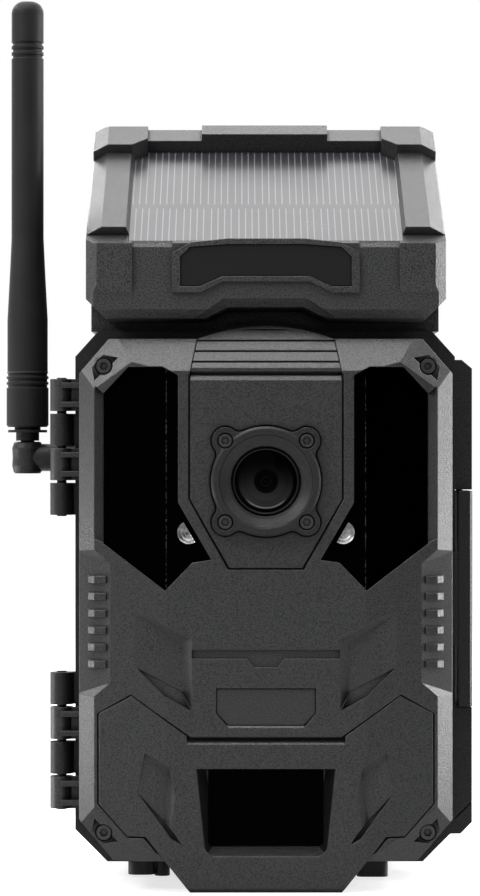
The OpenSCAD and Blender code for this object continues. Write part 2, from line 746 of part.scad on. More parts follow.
// Room for the ring, in the lens panel and in any part of the door that a wider ring reaches
module ring_recess() {
  rod_y(lens_r + ring_seam, 0, lens_z, -5, ring_back_f);
  ring_ears(ring_seam, -5, ring_back_f);
}

ear_f = panel_f - lens_ring_t + 0.5;
module lens_ring() color(grey_c) put() difference() {
  union() {
    difference() {
      ring_ears(0, ear_f, ring_back_f);
      rod_y(lens_r - 0.5, 0, lens_z, -10, 10);
    }
    lens_turn(ring_back_f) polygon([
      [lens_bore_r, 0], [lens_r, 0], [lens_r, ring_h - 0.7], [lens_r - 0.7, ring_h],
      [lens_r - 2.4, ring_h], [lens_r - 2.6, ring_h - 0.6], [lens_bore_r + 0.7, ring_sink + 1.3],
      [lens_bore_r, ring_sink + 1.1]]);
  }
  for (sx = [-1, 1], sz = [-1, 1]) {
    rod_y(ring_head_r + 0.45, sx * ear_at, lens_z + sz * ear_at, -10, ear_f + ear_sink);
    rod_y(ring_screw_r, sx * ear_at, lens_z + sz * ear_at, -10, 10);
  }
}

module lens_ring_screws() color(steel_c) put() for (sx = [-1, 1], sz = [-1, 1]) {
  head_f = ear_f + ear_sink;
  difference() {
    union() {
      rod_y(ring_head_r, sx * ear_at, lens_z + sz * ear_at, head_f - ring_head_h, head_f);
      rod_y(ring_screw_r, sx * ear_at, lens_z + sz * ear_at, head_f - 0.1, skin + 2);
    }
    translate([sx * ear_at, head_f - ring_head_h - 0.1, lens_z + sz * ear_at]) rotate([-90, 0, 0])
      cylinder(r = 1.35, h = 0.9, $fn = 6);
  }
}

module lens_barrel() color(black_c) put() lens_turn(barrel_back_f) polygon([
  [iris_r, 2], [barrel_r - 2.4, 2], [barrel_r - 2.4, 0], [barrel_r, 0],
    [barrel_r, barrel_back_f - panel_f - 0.4], [glass_r + 0.3, barrel_back_f - panel_f - 0.4],
  [glass_r + 0.3, barrel_back_f - 3.4], [iris_r + 2.6, barrel_back_f - 4.4], [iris_r, barrel_back_f - 9]]);

glass_bow = 1.2;
module lens_glass() color([0.12, 0.13, 0.18]) put() lens_turn(3.3) polygon(concat([[0, 0], [glass_r, 0]],
  [for (a = [0 : 0.125 : 1]) [glass_r * (1 - a), 1.6 + glass_bow * (1 - (1 - a) * (1 - a))]]));

// Brow: its foot, the open seam above the lens panel, and its straight grooves
brow_back_f = door_d - 2;
brow_foot_f = 0.6;
brow_seam = 1.2;
brow_tongue_f = 2.4;
brow_mid_f = 10;
brow_top_z = z1 + brow_rise;
groove_w = 0.45;
groove_deep = 0.8;
groove_pitch = 3.25;
groove_z = z1 - 0.6;
crown_groove_z = brow_top_z - 1.1;
crown_groove_half = 8.1;
crown_groove_r = (crown_groove_half * crown_groove_half + groove_w * groove_w / 4) / groove_w;
function brow_f(z) = top_band_f + (z - z1 + top_band_h) * tan(top_band_tilt);
brow_knee_z = z1 - top_band_h + (brow_foot_f - top_band_f) / tan(top_band_tilt);

brow_side = (panel_half - brow_half) / (z1 + 1 - panel_z1 - fit_gap);
brow_tip_half = brow_half - brow_rise * brow_side;

module brow() color(grey_c) put() difference() {
  intersection() {
    side_slab([[brow_tongue_f, panel_z1 + fit_gap], [brow_tongue_f, panel_z1 + brow_seam],
      [brow_foot_f, panel_z1 + brow_seam], [brow_foot_f, brow_knee_z],
      [brow_f(brow_top_z + 1), brow_top_z + 1], [brow_back_f, brow_top_z + 1],
      [brow_back_f, z1 + fit_gap], [brow_mid_f, z1 + fit_gap], [brow_mid_f, panel_z1 + fit_gap]], -30, 30);
    slab([[-panel_half, panel_z1 + fit_gap], [panel_half, panel_z1 + fit_gap],
      [brow_tip_half, brow_top_z + 1], [-brow_tip_half, brow_top_z + 1]], 0, brow_back_f + 1);
    rod_y(brow_arc, 0, brow_arc_z, -1, brow_back_f + 1);
  }
  for (i = [0 : 2]) block([-30, -5, groove_z - i * groove_pitch - groove_w / 2],
    [30, brow_f(groove_z - i * groove_pitch) + groove_deep, groove_z - i * groove_pitch + groove_w / 2]);
  intersection_for (s = [-1, 1])
    rod_y(crown_groove_r, 0, crown_groove_z + s * (crown_groove_r - groove_w / 2), 0,
      brow_f(crown_groove_z) + groove_deep);
}

// Bright discs in the windows' inner corners, cut to a D beside the lens panel's edge
disc_r = 3.45;
disc_x = 23.2;
disc_z = lens_z - 15.4;
module window_discs() color(steel_c) put() both() intersection() {
  rod_y(disc_r, -disc_x, disc_z, skin - 1.1, skin);
  translate([-disc_x + 0.2, 0, disc_z]) rotate([0, -30, 0]) translate([-20, -1, -20]) cube([20, 10, 40]);
}

// Boards in the door
board_half = hw - 12.5;
board_z0 = z0 + 6;
board_z1 = z1 - 13;
emit_r = 1.5;
emit_stem = 2.4;
emit_x = hw - 18;
emit_dx = 5;
emit_clear = 0.65;
emit_f = fold_f(emit_x + emit_dx + emit_r) + skin + win_t + emit_clear + emit_stem + emit_r;
emit_z0 = lens_z - 12;
emit_rows = 5;
emit_pitch = 7.5;

module emitter_boards() color(board_c) put() both() {
  block([-emit_x - 7.5, emit_f, emit_z0 - 6], [-emit_x + 7, emit_f + board_t,
    emit_z0 + (emit_rows - 1) * emit_pitch + 6]);
  for (dz = [0, (emit_rows - 1) * emit_pitch]) rod_y(1.6, -emit_x + 4.5, emit_z0 + dz, emit_f + board_t,
    board_f);
}

module emitters() color([0.5, 0.45, 0.55]) put() both() for (i = [0 : emit_rows - 1], dx = [-emit_dx, 0])
  translate([-emit_x + dx, emit_f, emit_z0 + i * emit_pitch]) rotate([90, 0, 0])
    rotate_extrude() polygon(concat([[0, 0], [emit_r, 0]],
      [for (a = [0 : 15 : 75]) [emit_r * cos(a), emit_stem + emit_r * sin(a)]],
      [[0, emit_stem + emit_r * sin(75)]]));

sensor_half = 15;
module sensor_board() color(board_c) put() {
  block([-sensor_half, barrel_back_f, lens_z - sensor_half],
    [sensor_half, barrel_back_f + board_t, lens_z + sensor_half]);
  for (sx = [-1, 1], sz = [-1, 1])
    rod_y(1.5, sx * (sensor_half - 2.5), lens_z + sz * (sensor_half - 2.5), barrel_back_f + board_t,
      board_f);
  block([-4.5, barrel_back_f - 1.2, lens_z - 3.5], [4.5, barrel_back_f, lens_z + 3.5]);
}

// Card slots, button and lights on the back of the main board
card_t = 2.1;
card_gap = 0.15;
slot_f = board_f + board_t;
slot_z = z0 + 52;
slot_in = 23;
sim_x = -30;
sim_w = 15;
sim_len = 25;
sim_t = 0.8;
sim_in = 18;
sim_travel = 10;
button_x = 30;
button_z = slot_z - 10;
button_r = 4;
button_gap = 0.3;
switch_top_f = slot_f + 0.5;
light_r = 1.2;

module main_board() color(board_c) put() {
  block([-board_half, board_f, board_z0], [board_half, slot_f, board_z1]);
  block([button_x - 3, slot_f - 0.1, button_z - 3], [button_x + 3, switch_top_f, button_z + 3]);
}

module card_shell(x, w, t, deep) {
  half = w / 2 + card_gap;
  difference() {
    block([x - half - 1, slot_f, slot_z], [x + half + 1, slot_f + t + 2 * card_gap + 1.2,
      slot_z + deep + card_gap + 1]);
    block([x - half, slot_f + 0.6, slot_z - 1], [x + half, slot_f + 0.6 + t + 2 * card_gap,
      slot_z + deep + card_gap]);
  }
}

module card_slot() color(steel_c) put() {
  card_shell(0, card_w, card_t, slot_in);
  card_shell(sim_x, sim_w, sim_t, sim_in);
}

module memory_card() color([0.12, 0.14, 0.2]) put()
  slab([[-card_w / 2, slot_z + slot_in - card_len], [card_w / 2, slot_z + slot_in - card_len],
    [card_w / 2, slot_z + slot_in - 4], [card_w / 2 - 4, slot_z + slot_in],
      [-card_w / 2, slot_z + slot_in]],
    slot_f + 0.6 + card_gap, slot_f + 0.6 + card_gap + card_t);

module sim_card() color([0.8, 0.8, 0.78]) put()
  slab([[sim_x - sim_w / 2, slot_z + sim_in - sim_len], [sim_x + sim_w / 2, slot_z + sim_in - sim_len],
    [sim_x + sim_w / 2, slot_z + sim_in - 3], [sim_x + sim_w / 2 - 3, slot_z + sim_in],
      [sim_x - sim_w / 2, slot_z + sim_in]],
    slot_f + 0.6 + card_gap, slot_f + 0.6 + card_gap + sim_t);

module modem_can() color(steel_c) put() block([8, slot_f, lens_z + 2],
  [board_half - 10, slot_f + 3, lens_z + 28]);

module power_button() color([0.7, 0.12, 0.1]) put() {
  rod_y(button_r, button_x, button_z, switch_top_f + button_travel + 0.2, inner_f + inner_t + 0.6);
  rod_y(button_r + 1.2, button_x, button_z, inner_f - button_gap - 1.2, inner_f - button_gap);
}

module status_lights() color([0.3, 0.75, 0.35]) put() for (i = [0 : 2])
  rod_y(light_r, button_x - 6 + i * 6, slot_z + 8, inner_f - 0.6, inner_f + inner_t + 0.4);

post_z = [board_z0 + 10, board_z1 - 10];
module inner_cover() color(black_c) put() difference() {
  union() {
    slab(octagon(cav_half - fit_gap, z0 + wall + fit_gap, z1 - wall - fit_gap, low_cx, low_cz, top_cx,
      top_cz),
      inner_f, inner_f + inner_t);
    for (sx = [-1, 1], z = post_z) rod_y(2.5, sx * (board_half - 4), z, slot_f, inner_f + 0.1);
  }
  block([-card_w / 2 - 1.5, inner_f - 1, slot_z + slot_in - card_len - card_travel - 2],
    [card_w / 2 + 1.5, door_d, slot_z - 1]);
  block([sim_x - sim_w / 2 - 1, inner_f - 1, slot_z + sim_in - sim_len - sim_travel - 2],
    [sim_x + sim_w / 2 + 1, door_d, slot_z - 1]);
  rod_y(button_r + button_gap, button_x, button_z, inner_f - 1, door_d);
  for (i = [0 : 2]) rod_y(light_r, button_x - 6 + i * 6, slot_z + 8, inner_f - 1, door_d);
  both() for (z = cover_screw_z) rod_y(screw_r, -cover_screw_x, z, inner_f - 1, door_d);
}

module inner_cover_screws() color(steel_c) put() both() for (z = cover_screw_z) {
  rod_y(screw_head_r, -cover_screw_x, z, inner_f + inner_t, inner_f + inner_t + 1.5);
  rod_y(screw_r, -cover_screw_x, z, inner_f + inner_t - screw_shank, inner_f + inner_t + 0.1);
}

pir_mid_z = pir_z + pir_h / 2;
pir_board_f = 14;
module pir_sensor() color(steel_c) put() {
  rod_y(4.6, 0, pir_mid_z, pir_board_f - 4.5, pir_board_f);
  rod_y(5.2, 0, pir_mid_z, pir_board_f - 0.6, pir_board_f);
}

module pir_board() color(board_c) put() {
  block([-14, pir_board_f, pir_mid_z - 9], [14, pir_board_f + board_t, pir_mid_z + 9]);
  for (sx = [-1, 1]) rod_y(1.6, sx * 11, pir_mid_z + 4, pir_board_f + board_t, board_f);
}

// Rear housing

rim_pts = octagon(rim_half, rim_z0, rim_z1, 10, 10, 7.2, 8);
shell_pts = octagon(shell_half, rim_z0, rim_z1, 10, 10, 7.2, 8);
shell_in = octagon(shell_half - wall, rim_z0 + wall, rim_z1 - wall, 10, 10, 7.2, 8);
rim_open = wall + 1.5;
gasket_w = 0.5;
gasket_d = 2;
back_chamfer = 9;
back_z = tray_z + tray_len + tray_wall + boss_r + 1;
back_boss_h = 4;
insert_r = 5;
loop_x = hw - 18.5;
loop_w = 8;
loop_gap = 5.5;
loop_bar = 4;
loop_h = 40;
loop_leg = 4;
loop_z = z0 + 80;
tooth_pitch = 8;
tooth_h = 2.2;
dc_x = -(hw - 18);
dc_f = rear_f + 8;
dc_r = 4.5;
dc_bore_r = 2.8;
jack_play = 0.02;
foot_w = 9.7;

module rear_knuckle(z) {
  rod_z(knuckle_r, hinge_x, hinge_f, z, z + knuckle_len);
  block([hinge_x, rear_f, z], [-rim_half + 0.6, hinge_f + knuckle_r, z + knuckle_len]);
}

guard_back_f = latch_pin_f + 4;
module latch_guard(z_a, z_b) block([shell_half - 1, rear_f, z_a], [latch_x1, guard_back_f, z_b]);

// The lower guard, which follows the housing's lower corner
foot_in_x = hw - low_cx * (1 - (guard_z0 - z0) / low_cz) - 1;
module guard_foot() slab([[shell_half - 1, guard_mid_z0], [latch_x1, guard_mid_z0], [latch_x1, guard_z0 + guard_cut],
  [latch_x1 - guard_cut, guard_z0], [foot_in_x, guard_z0], [shell_half - 1, z0 + low_cz]], rear_f, guard_back_f);

// A strap loop, open across the width, with a row of teeth on its back
loop_back_f = rear_b + loop_gap + loop_bar;
module strap_loop() difference() {
  union() {
    block([-loop_x - loop_w / 2, rear_b - 1, loop_z - loop_h / 2 - loop_leg],
      [-loop_x + loop_w / 2, loop_back_f, loop_z + loop_h / 2 + loop_leg]);
    for (i = [-2 : 2]) side_slab([
      [loop_back_f - 0.5, loop_z + i * tooth_pitch - tooth_h],
        [loop_back_f - 0.5, loop_z + i * tooth_pitch + tooth_h],
      [loop_back_f + tooth_h, loop_z + i * tooth_pitch]], -loop_x - loop_w / 2, -loop_x + loop_w / 2);
  }
  block([-loop_x - loop_w, rear_b, loop_z - loop_h / 2],
    [-loop_x + loop_w, rear_b + loop_gap, loop_z + loop_h / 2]);
}

module rear_housing() color(black_c) put() difference() {
  union() {
    slab(rim_pts, rear_f, rear_f + rim_d);
    intersection() {
      block([-brow_half - 6, rear_f, rim_z1 - 1], [brow_half + 6, rear_f + rim_d, rim_z1 + brow_rise]);
      rod_y(brow_arc + 2, 0, brow_arc_z, rear_f, rear_f + rim_d);
    }
    difference() {
      slab(shell_pts, rear_f, rear_b);
      both() translate([-shell_half, rear_b - back_chamfer, 0]) rotate([0, 0, 45])
        translate([-60, 0, -10]) cube([60, 60, 300]);
      slab(shell_in, rear_f + rim_d, rear_b - wall - back_chamfer);
      block([-shell_half + wall + back_chamfer, rear_f, rim_z0 + wall],
        [shell_half - wall - back_chamfer, rear_b - wall, rim_z1 - wall]);
    }
    for (i = [1, 3]) rear_knuckle(knuckle_z(hinge_top_z, i));
    for (i = [0, 2]) rear_knuckle(knuckle_z(hinge_low_z, i));
    difference() {
      union() {
        latch_guard(guard_mid_z1, guard_z1);
        guard_foot();
      }
      translate([latch_x1 - 3.2, 0, guard_z1]) rotate([0, 40, 0]) translate([-20, 0, 0])
        cube([60, 100, 30]);
      translate([latch_x1, rear_f - 1, guard_line_z]) rotate([0, -45, 0]) translate([-12, 0, 0])
        cube([20, 1 + guard_line_d, guard_line_w]);
    }
    rod_z(boss_r, 0, socket_f, 0, rim_z0 + wall + socket_depth);
    rod_y(boss_r, 0, back_z, rear_b - 12, rear_b + back_boss_h);
    both() strap_loop();
    rod_z(dc_r + 2.5, dc_x, dc_f, rim_z0, rim_z0 + 6);
  }
  slab(octagon(hw - rim_open, z0 + rim_open, z1 - rim_open, low_cx, low_cz, top_cx, top_cz), rear_f - 1,
    rear_f + rim_d + 0.1);
  difference() {
    slab(octagon(hw + gasket_w + 0.1, z0 - gasket_w - 0.1, z1 + gasket_w + 0.1, low_cx, low_cz, top_cx,
      top_cz), rear_f - 1, rear_f + gasket_d);
    slab(octagon(cav_half - gasket_w - 0.1, z0 + wall + gasket_w + 0.1, z1 - wall - gasket_w - 0.1,
      low_cx, low_cz, top_cx, top_cz),
      rear_f - 2, rear_f + gasket_d + 1);
  }
  rod_z(pin_r, hinge_x, hinge_f, -1, z1 + 20);
  rod_z(latch_pin_r, latch_pin_x, latch_pin_f, guard_mid_z0 - latch_pin_in, guard_mid_z1 + latch_pin_in);
  rod_z(insert_r, 0, socket_f, -1, socket_depth + 1);
  rod_y(insert_r, 0, back_z, rear_b + back_boss_h - socket_depth, rear_b + back_boss_h + 1);
  rod_z(dc_r + jack_play, dc_x, dc_f, rim_z0 + wall - 0.01, rim_z0 + 40);
  rod_z(dc_bore_r + 0.2, dc_x, dc_f, rim_z0 - 1, rim_z0 + 40);
  rod_x(jack_r, jack_f, jack_z, -shell_half - 10, -shell_half + 10);
  for (sx = [-1, 1], f = hood_screw_f) rod_z(hood_screw_r, sx * hood_screw_x, f, rim_z1 - 10, rim_z1 + 1);
}

module rim_gasket() color([0.05, 0.05, 0.05]) put() difference() {
  slab(octagon(hw + gasket_w, z0 - gasket_w, z1 + gasket_w, low_cx, low_cz, top_cx, top_cz),
    rear_f + 0.05, rear_f + gasket_d);
  slab(octagon(cav_half - gasket_w, z0 + wall + gasket_w, z1 - wall - gasket_w, low_cx, low_cz, top_cx,
    top_cz), rear_f - 1, rear_f + 5);
}

module hinge_pin(top) rod_z(pin_r, hinge_x, hinge_f, knuckle_z(top, 3) - 0.4, top + 0.4);
module hinge_pin_upper() color(steel_c) put() hinge_pin(hinge_top_z);
module hinge_pin_lower() color(steel_c) put() hinge_pin(hinge_low_z);

latch_pin_in = 6;
module latch_pin() color(steel_c) put()
  rod_z(latch_pin_r, latch_pin_x, latch_pin_f, guard_mid_z0 - latch_pin_in, guard_mid_z1 + latch_pin_in);

latch_barrel_r = 2.5;
module latch_lever() color(grey_c) put() difference() {
  union() {
    plan_slab([[latch_x0, latch_f0], [latch_x1 - 0.8, latch_f0], [latch_x1, latch_f0 + 0.8],
      [latch_x1, latch_pin_f],
      [latch_x0, latch_pin_f]], guard_mid_z0 + latch_gap, guard_mid_z1 - latch_gap);
    rod_z(latch_barrel_r, latch_pin_x, latch_pin_f, guard_mid_z0 + latch_gap, guard_mid_z1 - latch_gap);
    block([hw - nose_in, nose_f0, nose_mid_z - nose_half],
      [latch_x0 + 0.5, nose_f0 + 2, nose_mid_z + nose_half]);
  }
  rod_z(latch_bore_r, latch_pin_x, latch_pin_f, 0, z1);
  block([latch_x1 - 0.7, latch_f0 + 5, nose_mid_z - 22], [latch_x1 + 1, latch_f0 + 13, nose_mid_z + 22]);
}

// Power inlet, its rubber plug and the feet
module power_jack() color(black_c) put() difference() {
  rod_z(dc_r, dc_x, dc_f, rim_z0 + wall, rim_z0 + 13);
  rod_z(dc_bore_r, dc_x, dc_f, rim_z0 + wall - 1, rim_z0 + 11);
}

plug_round = 2.8;
module jack_plug() color([0.06, 0.06, 0.06]) put() {
  plan_slab(round_rect(dc_x - 4.2, dc_f - 6.5, dc_x + 4.2, dc_f + 6.5, plug_round), 0.6, rim_z0);
  rod_z(dc_bore_r - 0.1, dc_x, dc_f, rim_z0 - 0.1, rim_z0 + 7);
  rod_z(2.4, dc_x + 6.4, dc_f - 3, 0.1, rim_z0);
  block([dc_x + 4, dc_f - 4.5, 2.6], [dc_x + 6.4, dc_f - 1.5, rim_z0 - 0.4]);
}

foot_x = hw - 27.9;
foot_round = 2;
module rubber_feet() color([0.06, 0.06, 0.06]) put() {
  plan_slab(round_rect(foot_x, rear_f + 1.2, foot_x + foot_w, rear_f + 14, foot_round), 0, rim_z0);
  both() plan_slab(round_rect(-foot_x - foot_w, rear_b - 22, -foot_x, rear_b - 11, foot_round), 0, rim_z0);
}

module tripod_insert() color(brass_c) put() difference() {
  rod_z(insert_r, 0, socket_f, 0, socket_depth + 1);
  rod_z(socket_r, 0, socket_f, -1, socket_depth);
}

module back_insert() color(brass_c) put() difference() {
  rod_y(insert_r, 0, back_z, rear_b + back_boss_h - socket_depth, rear_b + back_boss_h);
  rod_y(socket_r, 0, back_z, rear_b + back_boss_h - socket_depth + 1, rear_b + back_boss_h + 1);
}

// Batteries
module battery_tray() color(black_c) put() difference() {
  block([-tray_half - tray_wall, cell_f - 2, tray_z - tray_wall],
    [tray_half + tray_wall, rear_b - wall, tray_z + tray_len + tray_wall]);
  block([-tray_half, cell_f - 3, tray_z], [tray_half, rear_b - wall - tray_floor, tray_z + tray_len]);
}

function cell_x(i) = (i - (cell_cols - 1) / 2) * cell_pitch;
module battery_cells() color([0.55, 0.42, 0.2]) put() for (i = [0 : cell_cols - 1], j = [0, 1]) {
  z = tray_z + cell_end + j * (cell_len + cell_end);
  rod_z(cell_r, cell_x(i), cell_f, z, z + cell_len - 1);
  rod_z(cell_r * 0.38, cell_x(i), cell_f, z + cell_len - 1.1, z + cell_len);
}

module battery_contacts() color(steel_c) put() {
  block([-tray_half + 0.3, cell_f - 1.5, tray_z], [tray_half - 0.3, cell_f + cell_r - 1,
    tray_z + cell_end - 0.3]);
  block([-tray_half + 0.3, cell_f - 1.5, tray_z + cell_end + cell_len + 0.2],
    [tray_half - 0.3, cell_f + cell_r - 1, tray_z + 2 * cell_end + cell_len - 0.2]);
  block([-tray_half + 0.3, cell_f - 1.5, tray_z + tray_len - cell_end + 0.3],
    [tray_half - 0.3, cell_f + cell_r - 1, tray_z + tray_len]);
}

// Solar hood

slope_back_f = lip_f + slope_len * cos(hood_tilt);
slope_back_z = lip_z1 + slope_len * sin(hood_tilt);
laminate_t = 1.2;
laminate_v0 = 1.6;
laminate_v1 = slope_len - rail_len;
side_rail_h = 2.7;
side_rail_v = 5.8;
rail_bevel = 4.6;
guard_v = 62.6 - 78.5 + slope_len;
guard_h = 5.7;
guard_in = cell_half - 4.1;
hood_screw_x = hood_half - 12;
hood_screw_f = [rear_f + 12, rear_b - 13];
hood_screw_r = 1.5;
hood_wall = 3.4;
lip_proud = 1;
lip_guard_w = 14;
lip_guard_h = 14.7;
guard_bevel = 2;
// Sloping ledge between a lip guard and the plate's rim
ledge_drop = 1.2;
ledge_tilt = 40;
// Raised rim of the lip's plate, and the plate
lip_rim_half = 28.2;
function lip_rim_pts(d) = [
  [-lip_rim_half + d, lip_z1 - 14.9 + d * 0.75], [-19.8, lip_z1 - 14.9 + d * 0.75],
    [-13.2, lip_z1 - 11.6 + d * 0.65],
  [13.2, lip_z1 - 11.6 + d * 0.65], [19.8, lip_z1 - 14.9 + d * 0.75],
    [lip_rim_half - d, lip_z1 - 14.9 + d * 0.75],
  [lip_rim_half - d, lip_z1 - 2.9 - d * 0.5], [22.8, lip_z1 + 0.1 - d * 0.55],
    [11.7, lip_z1 + 1.3 - d * 0.7],
  [-11.7, lip_z1 + 1.3 - d * 0.7], [-22.8, lip_z1 + 0.1 - d * 0.55],
    [-lip_rim_half + d, lip_z1 - 2.9 - d * 0.5]];
lip_plate_d = 2.4;

// Puts its children on the hood's slope: Y runs up the slope and Z stands out of it.
module on_slope() translate([0, lip_f, lip_z1]) rotate([hood_tilt, 0, 0]) children();

module panel_base() color(grey_c) put() difference() {
  union() {
    intersection() {
      side_slab([[lip_f, lip_z0], [hood_neck_f, lip_z0], [hood_neck_f, hood_z0], [rear_b, hood_z0],
        [rear_b, hood_z0 + 20],
        [slope_back_f + 2.5, slope_back_z - 3], [slope_back_f, slope_back_z], [lip_f, lip_z1]],
          -hood_half, hood_half);
      union() {
        slab([[-hood_half, lip_z0 + lip_chamfer], [-hood_half + lip_chamfer, lip_z0],
          [hood_half - lip_chamfer, lip_z0],
          [hood_half, lip_z0 + lip_chamfer], [hood_half, slope_back_z + 20],
            [-hood_half, slope_back_z + 20]], 0, hood_neck_f);
        block([-hood_half, hood_neck_f, hood_z0], [hood_half, rear_b, slope_back_z + 20]);
      }
    }
    both() block([-hood_half, lip_f - lip_proud, lip_z1 - lip_guard_h],
      [-hood_half + lip_guard_w, lip_f + 1, lip_z1]);
    slab(lip_rim_pts(0), lip_f - lip_proud, lip_f + 3);
  }
  both() ahead_of([-hood_half + 3.3, lip_f - lip_proud, lip_z1], 180, 45);
  intersection() {
    ahead_of([0, lip_f, lip_z0 + lip_bevel], 270, 45);
    block([-hood_half - 1, -5, lip_z0 - 5], [hood_half + 1, 20, lip_z0 + lip_bevel + 1]);
  }
  slab([[-18.4, lip_z0 - 1], [-18.4, lip_z0], [-11.5, lip_z0 + notch_rise], [11.5, lip_z0 + notch_rise],
    [18.4, lip_z0], [18.4, lip_z0 - 1]], -5, hood_neck_f);
  intersection() {
    ahead_of([0, lip_f, lip_z0 + lip_bevel + notch_rise], 270, 45);
    slab([[-18.4 - lip_bevel, lip_z0], [-11.5 - lip_bevel * 0.4, lip_z0 + lip_bevel + notch_rise],
      [11.5 + lip_bevel * 0.4, lip_z0 + lip_bevel + notch_rise], [18.4 + lip_bevel, lip_z0]], -5, 20);
  }
  both() intersection() {
    ahead_of([0, lip_f, lip_z1 - ledge_drop], 90, ledge_tilt);
    block([-hood_half + lip_guard_w, -5, lip_z1 - 5],
      [-lip_rim_half, lip_f + laminate_v0 * cos(hood_tilt) - fit_gap, lip_z1 + 5]);
  }
  both() intersection() {
    ahead_of([0, lip_f - lip_proud, lip_z1 - lip_guard_h + guard_bevel], 270,
      atan(lip_proud / guard_bevel));
    block([-hood_half - 1, -5, lip_z1 - lip_guard_h - 1],
      [-hood_half + lip_guard_w + 1, lip_f, lip_z1 - lip_guard_h + guard_bevel + 1]);
  }
  slab(lip_rim_pts(lip_plate_d), -5, lip_f - lip_proud + 1.2);
  on_slope() block([-cell_half - fit_gap, laminate_v0 - fit_gap, -laminate_t - frame_lift],
    [cell_half + fit_gap, laminate_v1 + fit_gap, 20]);
  side_slab([[hood_neck_f + 5, hood_z0 - 1], [hood_neck_f + 5, lip_z0 + 6.5], [lip_f + 10, lip_z0 + 8],
    [lip_f + 10, lip_z1 + 10 * tan(hood_tilt) - 5],
      [slope_back_f - 5, slope_back_z - 5 * tan(hood_tilt) - 5],
    [rear_b - hood_wall, hood_z0 + 19], [rear_b - hood_wall, hood_z0 - 1]], -hood_screw_x + 5,
      hood_screw_x - 5);
  for (sx = [-1, 1], f = hood_screw_f) rod_z(hood_screw_r, sx * hood_screw_x, f, hood_z0 - 1, hood_z0 + 8);
}

module lip_plate() color(black_c) put() slab(lip_rim_pts(lip_plate_d + fit_gap), lip_f - lip_proud + 0.5,
  lip_f - lip_proud + 1.2);

frame_lift = 0.02;
module panel_frame() color(grey_c) put() on_slope() translate([0, 0, frame_lift]) difference() {
  union() {
    both() slab([[-hood_half, 0], [-cell_half, 0], [-cell_half - 1, side_rail_h],
      [-hood_half + rail_bevel, side_rail_h]],
      side_rail_v, slope_len);
    block([-cell_half - 4, laminate_v1, 0], [cell_half + 4, slope_len, rail_h]);
    block([-mid_rail_half, laminate_v1, 0], [mid_rail_half, slope_len, mid_rail_h]);
    both() intersection() {
      linear_extrude(height = guard_h) polygon([[-hood_half, guard_v], [-cell_half - 0.7, guard_v],
        [-guard_in, laminate_v1 - 2],
        [-guard_in, slope_len], [-hood_half, slope_len]]);
      slab([[-hood_half, 0], [-hood_half, guard_h - 2.6], [-hood_half + rail_bevel, guard_h],
        [0, guard_h], [0, 0]], 0, slope_len);
    }
  }
  translate([0, slope_len, mid_rail_h]) rotate([45, 0, 0]) translate([-hood_half - 1, -1.2, -10])
    cube([2 * hood_half + 2, 40, 40]);
}

module solar_laminate() color([0.16, 0.17, 0.22]) put() on_slope()
  block([-cell_half, laminate_v0, -laminate_t], [cell_half, laminate_v1, 0]);

module hood_battery() color([0.3, 0.35, 0.45]) put()
  block([-hood_screw_x + 8, hood_neck_f + 8, hood_z0],
    [hood_screw_x - 8, rear_b - hood_wall - 3, hood_z0 + 16]);

module hood_screws() color(steel_c) put() for (sx = [-1, 1], f = hood_screw_f) {
  rod_z(2.7, sx * hood_screw_x, f, rim_z1 - wall - 1.8, rim_z1 - wall);
  rod_z(hood_screw_r, sx * hood_screw_x, f, rim_z1 - wall - 0.1, hood_z0 + 7.5);
}

// Antenna

coupling_r = 4.3;
coupling_x = -shell_half - 2.9;
jack_out = 9.5;
jack_nut_t = 2.2;
stub_r = 2.2;
stub_len = 8.5;

module antenna_jack() color(brass_c) put() {
  rod_x(jack_r, jack_f, jack_z, -shell_half - jack_out, -shell_half + wall + 0.1);
  rod_x(jack_r + 2.4, jack_f, jack_z, -shell_half + wall, -shell_half + wall + 2);
  rod_x(jack_r, jack_f, jack_z, -shell_half + wall, -shell_half + wall + 9);
}

module antenna_jack_nut() color(steel_c) put() difference() {
  translate([-shell_half - jack_nut_t, jack_f, jack_z]) rotate([0, 90, 0])
    cylinder(r = jack_r + 2, h = jack_nut_t, $fn = 6);
  rod_x(jack_r, jack_f, jack_z, -shell_half - 5, -shell_half + 1);
}

module antenna_elbow() color(black_c) put() difference() {
  union() {
    translate([whip_x, jack_f, jack_z - elbow_h / 2]) rotate_extrude() polygon([
      [0, 0], [elbow_r - 0.9, 0], [elbow_r - 0.4, 0.6], [elbow_r, 2.4], [elbow_r, 2.6],
        [elbow_r - 0.15, elbow_h / 2],
      [elbow_r, elbow_h - 2], [elbow_r - 0.5, elbow_h - 0.4], [elbow_r - 0.9, elbow_h], [stub_r, elbow_h],
      [stub_r, elbow_h + stub_len], [0, elbow_h + stub_len]]);
    rod_x(coupling_r, jack_f, jack_z, whip_x, coupling_x);
    for (a = [0 : 30 : 330]) translate([0, jack_f, jack_z]) rotate([a, 0, 0])
      block([coupling_x - 6, -0.5, coupling_r - 0.4], [coupling_x - 0.5, 0.5, coupling_r + 0.3]);
  }
  rod_x(jack_r + run_gap, jack_f, jack_z, -shell_half - jack_out - 0.4, coupling_x + 1);
}

